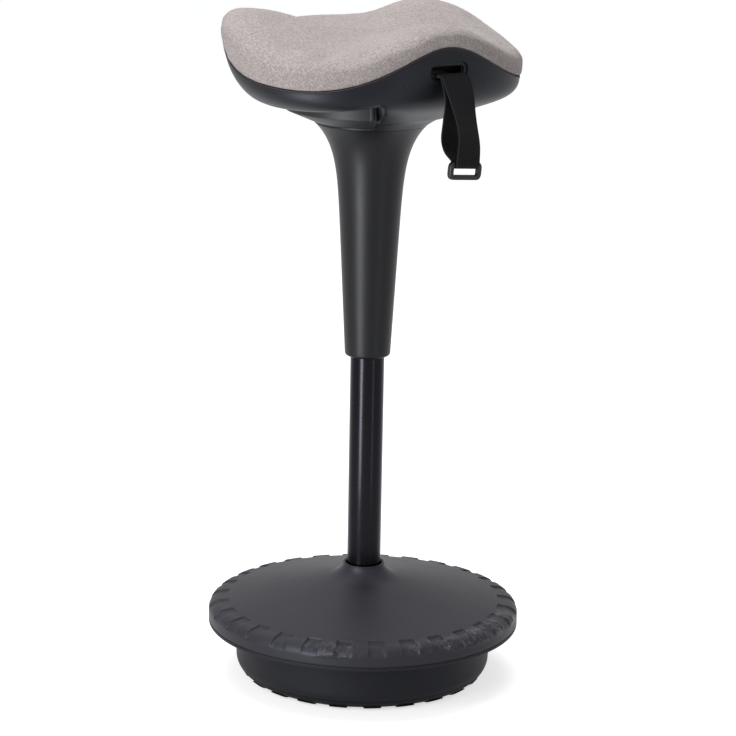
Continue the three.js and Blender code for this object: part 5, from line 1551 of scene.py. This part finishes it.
@dataclass
class ReleaseLever:
    """Curved lever under the shell that frees the gas column."""

    inner: float = 66.0
    outer: float = 101.5
    start: float = deg(34)
    end: float = deg(152)
    floor_inner: float = 667.4
    wall_bottom: float = 682.0
    wall_top: float = 698.4
    thickness: float = 3.0
    scoop: float = 1.5
    post: float = deg(2.9)
    ramp: float = deg(2.3)
    rib_middle: float = deg(1.75)
    rib_half: float = deg(1.5)
    tongue: float = deg(1.2)
    tongue_step: float = 2.2

    def build(self) -> None:
        """Builds, dresses and places the paddle."""
        place(self.paddle(), "lever", "satin_plastic", "lever_paddle", finish=FINISHES.lever)

    def paddle(self) -> Piece:
        """Returns the paddle, scooped between two end posts, with its arm boss."""
        corners = [(self.inner, self.floor_inner, 0.5), (self.outer, self.wall_bottom, 2.2),
                   (self.outer, self.wall_top, 1.2), (self.outer - self.thickness, self.wall_top, 1.0),
                   (self.outer - self.thickness, self.wall_bottom + self.thickness, 2.0),
                   (self.inner, self.floor_inner + self.thickness, 0.8)]
        section = rounded(corners, True, 5)
        near = [0.0, 0.25, 0.6, 1.0, 1.6, 2.3, 2.9, 3.3, 3.7, 4.1, 4.5, 4.9, 5.3, 5.8]
        across = -self.rib_half * np.cos(np.linspace(0.0, math.pi, 15))
        first = self.start - self.tongue
        front = np.concatenate([first + np.array([0.0, deg(0.2), deg(0.6), deg(1.12)]),
                                self.start + np.array([deg(0.06), deg(0.18)]),
                                self.start + self.rib_middle + across,
                                self.start + np.array([deg(3.7), deg(4.7), deg(5.8)])])
        back = self.end - np.array([deg(v) for v in near[::-1]])
        angles = np.concatenate([front, np.linspace(front[-1], back[0], 90)[1:-1], back])
        from_end = np.minimum(angles - first, self.end - angles)
        rib = np.clip((angles - self.start - self.rib_middle) / self.rib_half, -1.0, 1.0)
        sunk = self.scoop * (1.0 - np.sqrt(1.0 - rib ** 2))
        sunk += (self.tongue_step - self.scoop) * smooth(1.0 - (angles - self.start) / deg(0.25))
        rear = self.scoop * smooth((self.end - angles - self.post) / self.ramp)
        sunk = np.where(self.end - angles < deg(12), rear, sunk)
        radius = np.broadcast_to(section[:, 0], (len(angles), len(section))).copy()
        outside = smooth((section[:, 0] - (self.outer - 2.4)) / 1.2)
        outside *= smooth((section[:, 1] - self.wall_bottom + 2.0) / 3.0)
        outside *= smooth((self.wall_top - 0.2 - section[:, 1]) / 1.6)
        radius -= sunk[:, None] * outside[None, :]
        edge = 0.9 * (1.0 - np.clip(from_end / deg(0.6), 0.0, 1.0)) ** 2
        centre = section.mean(axis=0)
        pull = np.clip(np.sign(section - centre), -1, 1)
        radius -= edge[:, None] * np.where(pull[:, 0] > 0, 0.55, 0.0)[None, :]
        height = section[None, :, 1] - edge[:, None] * (pull[:, 1] * 0.35)[None, :]
        points = plan_points(angles[:, None], radius, height)
        faces = lattice_faces(len(angles), len(section), False, capped=True)
        return join(mesh_object("scooped_lever_paddle", points, faces, sharp=34.0), self.boss())

    @staticmethod
    def boss() -> Piece:
        """Returns the boss inside the paddle that carries the steel arm."""
        low, high = (-92.8, -9.0, 684.2), (-73.0, 9.0, 694.2)
        corners = [(x, y, z) for x in (low[0], high[0]) for y in (low[1], high[1])
                   for z in (low[2], high[2])]
        faces = [(0, 1, 3, 2), (4, 6, 7, 5), (0, 4, 5, 1), (2, 3, 7, 6), (0, 2, 6, 4), (1, 5, 7, 3)]
        made = mesh_object("lever_boss", np.array(corners), faces)
        bevel(made, 1.2, 3)
        return made


@dataclass
class StrapSet:
    """Pull strap, its stitched end under the seat, and its metal ring."""

    half_width: float = 19.0
    thickness: float = 1.6
    layer_gap: float = 0.35
    twist: float = deg(10)
    belly_twist: float = deg(12)
    tilt: float = deg(6.6)
    offset: float = 4.2
    axis_depth: float = 171.5
    front_depth: float = 178.8
    back_depth: float = 154.0
    mouth_depth: float = 147.0
    shoulder_depth: float = 152.0
    mouth_height: float = 736.9
    shoulder_height: float = 734.0
    belly_height: float = 667.45
    ring_height: float = 641.4
    clamp_height: float = 727.6
    clamp_depth: float = 108.0
    screw_half: float = 13.0
    tail_end: float = 101.0
    slot_inner: float = 137.0
    ring_half_width: float = 25.8
    ring_tall: float = 20.4
    ring_bar: float = 2.9
    ring_corner: float = 4.6

    def build(self) -> None:
        """Builds, dresses and places the strap, its end, its stitches and the ring."""
        place(self.strap(), "strap", "webbing", "pull_strap", finish=FINISHES.webbing)
        place(self.tail(), "seat", "webbing", "strap_tail", finish=FINISHES.webbing)
        place(self.stitches(), "seat", "webbing")
        place(self.ring(), "ring", "ring_metal", "strap_ring")

    def loop_line(self) -> np.ndarray:
        """Returns depth and height along the loop, down, round the ring and up."""
        wrap = self.ring_bar + 0.6 + self.thickness / 2
        step = (self.thickness + self.layer_gap) / 2
        middle = (2 * self.shoulder_height + self.belly_height) / 3
        front = smooth_line([
            (self.mouth_depth, self.mouth_height),
            (self.shoulder_depth - 2.6, self.mouth_height - 1.1),
            (self.shoulder_depth - 0.6, self.shoulder_height - 0.4),
            ((self.shoulder_depth + self.front_depth) / 2 - 1.4, middle),
            (self.front_depth - 2.6, self.belly_height),
            (self.axis_depth + wrap, self.ring_height + self.ring_bar)], 80)
        turn = arc((self.axis_depth, self.ring_height), (wrap, wrap), 0.0, -math.pi, 18)
        back = smooth_line([
            (self.axis_depth - wrap, self.ring_height + self.ring_bar),
            (self.back_depth + 2.6, self.belly_height - 14.4),
            (self.back_depth - 2.2, self.belly_height - 2.0),
            (self.back_depth - 0.6, self.belly_height + 21.0),
            (self.back_depth + 2.4, middle),
            (self.shoulder_depth - 2.7, self.shoulder_height - 2.5),
            (self.mouth_depth, self.mouth_height - 2 * step)], 80)
        return np.concatenate([front, np.array(turn), back])

    def hung(self, x: np.ndarray, y: np.ndarray, height: np.ndarray) -> np.ndarray:
        """Moves strap points to where the twisted, tilted loop hangs.

        Args:
            x: place across the strap.
            y: depth, negative to the front.
            height: height.

        Returns:
            The points.
        """
        fall = (self.shoulder_height - height) / (self.shoulder_height - self.ring_height)
        share = np.clip(fall, 0.0, 1.0)
        ease = smooth(share)
        angle = self.twist * ease + self.belly_twist * np.sin(math.pi * share) ** 2
        c, s = np.cos(angle), np.sin(angle)
        from_axis = y + self.axis_depth
        level = x * (1 - ease + ease * math.cos(self.tilt))
        return np.stack([self.offset + level * c - from_axis * s,
                         level * s + from_axis * c - self.axis_depth,
                         height - x * math.sin(self.tilt) * ease], -1)

    def strip(self, name: str, line: np.ndarray, thickness: float,
              move: Callable[[np.ndarray, np.ndarray, np.ndarray], np.ndarray]) -> Piece:
        """Makes a strip of webbing with soft edges.

        Args:
            name: the object's name.
            line: depth and height along its middle.
            thickness: its thickness in millimetres.
            move: puts a point in its place.

        Returns:
            The strip.
        """
        keep = np.concatenate([[True], np.linalg.norm(np.diff(line, axis=0), axis=1) > 0.05])
        line = line[keep]
        along = np.gradient(line, axis=0)
        along /= np.linalg.norm(along, axis=1, keepdims=True)
        side = np.stack([along[:, 1], -along[:, 0]], 1)
        length = np.concatenate([[0], np.cumsum(np.linalg.norm(np.diff(line, axis=0), axis=1))])
        w, t = self.half_width, thickness / 2
        inner = [(-w + 1.4 + (2 * w - 2.8) * s, 1.0) for s in np.linspace(0, 1, 15)]
        top = [(-w + 0.05, 0.45), (-w + 0.5, 0.9), *inner, (w - 0.5, 0.9), (w - 0.05, 0.45)]
        outline = np.array(top + [(x, -z) for x, z in top[::-1]])
        across = np.broadcast_to(outline[:, 0], (len(line), len(outline)))
        push = outline[None, :, 1] * t
        depth = line[:, 0][:, None] + side[:, 0][:, None] * push
        height = line[:, 1][:, None] + side[:, 1][:, None] * push
        points = move(across, -depth, height)
        uv = np.stack([np.broadcast_to(length[:, None], across.shape), across], 2) * MM
        faces = lattice_faces(len(line), len(outline), False, capped=True)
        return mesh_object(name, points, faces, uv, sharp=60.0)

    def strap(self) -> Piece:
        """Returns the hanging loop."""
        return self.strip("woven_pull_strap", self.loop_line(), self.thickness, self.hung)

    def tail_line(self) -> np.ndarray:
        """Returns depth and height along the stitched end, from its cut edge to the slot."""
        step = (self.thickness + self.layer_gap) / 2
        out = smooth_line([
            (self.clamp_depth + 5.5 + self.thickness, self.clamp_height),
            (self.slot_inner - self.thickness, self.mouth_height - step),
            (self.mouth_depth - self.thickness, self.mouth_height - step)], 28)
        return np.concatenate([np.linspace((self.tail_end, self.clamp_height), out[0], 10)[:-1], out])

    def tail(self) -> Piece:
        """Returns the doubled end of the strap under the seat."""
        double = 2 * self.thickness + self.layer_gap
        made = self.strip("stitched_strap_end", self.tail_line(), double,
                          lambda x, y, z: np.stack([x + self.offset, y + 0 * x, z + 0 * x], -1))
        for across in (-self.screw_half, self.screw_half):
            corners = [(0.0, 700.0), (2.3, 700.0), (2.3, 740.0), (0.0, 740.0)]
            hole = turned("tail_hole", np.array(corners), 16)
            hole.data.transform(Matrix.Translation(
                ((self.offset + across) * MM, -self.clamp_depth * MM, 0)))
            cut(made, hole)
        tidy(made, 0.001, 60.0)
        return made

    def stitches(self) -> Piece:
        """Returns the box of stitches that joins the doubled end."""
        top = self.clamp_height + self.thickness + self.layer_gap / 2 + 0.05
        corners = np.array([(-15, 103), (15, 103), (15, 112.5), (-15, 112.5)])
        rows = [np.linspace(corners[i], corners[(i + 1) % 4], 12)[:-1] for i in range(4)]
        flat = np.concatenate(rows)
        points = np.stack([flat[:, 0] + self.offset, -flat[:, 1], np.full(len(flat), top)], 1)
        path = path_object("strap_end_stitches", points)
        stitch_tree().run(path, material_of(FINISHES.thread), Pitch=2.6 * MM, Length=1.05 * MM,
                          Radius=0.2 * MM)
        return path

    def ring(self) -> Piece:
        """Returns the rounded rectangular ring."""
        half_w, half_h = self.ring_half_width - self.ring_bar, self.ring_tall / 2 - self.ring_bar
        centre = self.ring_height - half_h
        flat = rounded([(half_w, half_h, self.ring_corner), (-half_w, half_h, self.ring_corner),
                        (-half_w, -half_h, self.ring_corner), (half_w, -half_h, self.ring_corner)],
                       True, 8)
        c, s = math.cos(self.twist), math.sin(self.twist)
        fall = flat[:, 1] + centre - self.ring_height
        across = flat[:, 0] * math.cos(self.tilt) + fall * math.sin(self.tilt)
        up = self.ring_height + fall * math.cos(self.tilt) - flat[:, 0] * math.sin(self.tilt)
        points = np.stack([self.offset + across * c, across * s - self.axis_depth, up], 1)
        width = 2 * self.ring_bar * 0.99
        return bar("rounded_strap_ring", points, FINISHES.ring, width, width, 1.3)


def screws(name: str, count: int) -> dict[str, MetalFinish]:
    """Returns the finish of each screw in a numbered row."""
    return {f"{name}_{i + 1}": FINISHES.zinc for i in range(count)}


@dataclass
class HiddenWorks:
    """Pieces inside the stool that keep their frame shape and get a real finish."""

    dressed: dict[str, Finish] = field(default_factory=lambda: {
        "ballast_weight": FINISHES.iron,
        "column_socket": FINISHES.zinc,
        "guide_bushing": FINISHES.nylon,
        "cylinder_gland": FINISHES.nylon,
        "bearing_lower_washer": FINISHES.bright,
        "bearing_upper_washer": FINISHES.bright,
        "bearing_ball_cage": FINISHES.bright,
        "piston_rod": FINISHES.chrome,
        "rod_piston": FINISHES.bright,
        "rod_bumper": FINISHES.bumper,
        "rod_washer": FINISHES.zinc,
        "rod_clip": FINISHES.blackened,
        "gas_cylinder": FINISHES.paint,
        "seat_plate": FINISHES.plate_paint,
        "seat_board": FINISHES.wood,
        "strap_clamp_bar": FINISHES.zinc,
        "lever_pivot_pin": FINISHES.bright,
        "lever_arm": FINISHES.blackened,
        "lever_screw": FINISHES.zinc,
        "release_pin": FINISHES.bright,
        **screws("flange_screw", 4),
        **screws("plate_bolt", 4),
        **screws("clamp_screw", 2),
    })

    def build(self) -> None:
        """Gives every carried-over node its finish."""
        for name, finish in self.dressed.items():
            node = frame["nodes"][name]
            if node.material_slots:
                for holder in node.material_slots:
                    holder.material = material_of(finish)
            else:
                node.data.materials.append(material_of(finish))
            LOG.info("%s: dressed in %s", name, finish.name)


# Studio


@dataclass
class Studio:
    """Pale floor, soft lamps, white surroundings and the camera."""

    floor_size: float = 60.0
    floor_lit: float = 0.62
    floor_shown: float = 0.80
    floor_glow: float = 0.636
    ambient: float = 0.46
    camera_turn: float = deg(36.0)
    camera_distance: float = 3.085
    camera_height: float = 1.1284
    camera_drop: float = deg(13.73)
    camera_roll: float = deg(1.03)
    focal_pixels: float = 2700.0
    picture: int = 736
    shift: float = 0.8 / 736
    sensor: float = 36.0

    def build(self) -> None:
        """Sets up floor, surroundings, lamps and camera."""
        self.floor()
        self.surroundings()
        self.lamps()
        self.camera()
        bpy.context.scene.view_settings.view_transform = "Standard"

    def floor(self) -> None:
        """Makes the pale floor, which keeps the stool's shadow."""
        half = self.floor_size / 2
        mesh = bpy.data.meshes.new("pale_floor")
        mesh.from_pydata([(-half, -half, 0), (half, -half, 0), (half, half, 0), (-half, half, 0)],
                         [], [(0, 1, 2, 3)])
        g = ShaderGraph("pale_floor")
        g.finish(Base_Color=(*[self.floor_lit] * 3, 1.0), Roughness=1.0, Specular_IOR_Level=0.0)
        glow = g.node("ShaderNodeEmission", sockets={
            "Color": (1.0, 1.0, 1.0, 1.0), "Strength": self.floor_glow})
        shown = g.node("ShaderNodeBsdfDiffuse", sockets={"Color": (*[self.floor_shown] * 3, 1.0)})
        both = g.node("ShaderNodeAddShader", sockets={0: shown.outputs[0], 1: glow.outputs[0]})
        g.fill(g.output, {0: g.lit_or_shown(g.surface, both)})
        mesh.materials.append(g.material)
        linked("pale_floor", mesh)

    def surroundings(self) -> None:
        """Makes white surroundings that light the object at a plain level."""
        world = bpy.data.worlds.new("white_room")
        bpy.context.scene.world = world
        world.use_nodes = True
        graph = Graph(world.node_tree)
        ambient = graph.node("ShaderNodeBackground", sockets={
            "Color": (0.97, 0.985, 1.0, 1.0), "Strength": self.ambient})
        shown = graph.node("ShaderNodeBackground", sockets={
            "Color": (1.0, 1.0, 1.0, 1.0), "Strength": 1.0})
        graph.node("ShaderNodeOutputWorld", sockets={0: graph.lit_or_shown(ambient, shown)})

    def lamps(self) -> None:
        """Hangs the softboxes round the stool."""
        self.softbox("key_strip", turn=73, away=1.5, height=0.82, size=(0.22, 1.6), power=13.0,
                     aim=0.82)
        self.softbox("overhead", turn=186, away=0.45, height=2.6, size=(2.2, 2.2), power=41.0)
        self.softbox("left_reflector", turn=73, away=0.8, height=0.5, size=(0.19, 1.0), power=10.5,
                     lights=False)
        self.softbox("right_reflector", turn=-7, away=0.8, height=0.5, size=(0.05, 1.0), power=0.9,
                     lights=False)

    @staticmethod
    def softbox(name: str, turn: float, away: float, height: float,
                size: tuple[float, float], power: float, aim: float = 0.5,
                lights: bool = True) -> None:
        """Hangs one softbox.

        Args:
            name: the lamp's name.
            turn: plan angle in degrees.
            away: distance from the axis in metres.
            height: height in metres.
            size: width and height in metres.
            power: power in watts.
            aim: height in metres that it points at.
            lights: False for a strip that only shows as a gloss line.
        """
        lamp = bpy.data.lights.new(name, "AREA")
        lamp.shape = "RECTANGLE"
        lamp.size, lamp.size_y = size
        lamp.energy = power
        made = linked(name, lamp)
        made.visible_camera = False
        made.visible_diffuse = lights
        spot = Vector((-away * math.sin(deg(turn)), -away * math.cos(deg(turn)), height))
        made.location = spot
        made.rotation_euler = (Vector((0, 0, aim)) - spot).to_track_quat("-Z", "Y").to_euler()

    def camera(self) -> None:
        """Sets the camera where the photograph was taken."""
        s, c = math.sin(self.camera_turn), math.cos(self.camera_turn)
        drop, roll = self.camera_drop, self.camera_roll
        forward = Vector((s * math.cos(drop), c * math.cos(drop), -math.sin(drop)))
        level = Vector((c, -s, 0.0))
        upright = level.cross(forward)
        right = level * math.cos(roll) + upright * math.sin(roll)
        up = upright * math.cos(roll) - level * math.sin(roll)
        spot = Vector((-s * self.camera_distance, -c * self.camera_distance, self.camera_height))
        lens = bpy.data.cameras.new("photo_camera")
        lens.sensor_width = self.sensor
        lens.lens = self.focal_pixels / self.picture * self.sensor
        lens.shift_x = self.shift
        lens.clip_end = 200.0
        matrix = Matrix((right, up, -forward)).transposed().to_4x4()
        matrix.translation = spot
        made = linked("photo_camera", lens)
        made.matrix_world = matrix
        bpy.context.scene.camera = made


def main() -> None:
    """Builds every sub-assembly, then the studio."""
    logging.basicConfig(level=logging.INFO, format="%(name)s %(message)s")
    for assembly in (WeightedBase(), Column(), SaddleSeat(), ReleaseLever(), StrapSet(), HiddenWorks()):
        LOG.info("building %s", type(assembly).__name__)
        assembly.build()
    Studio().build()


if __name__ == "__main__":
    main()
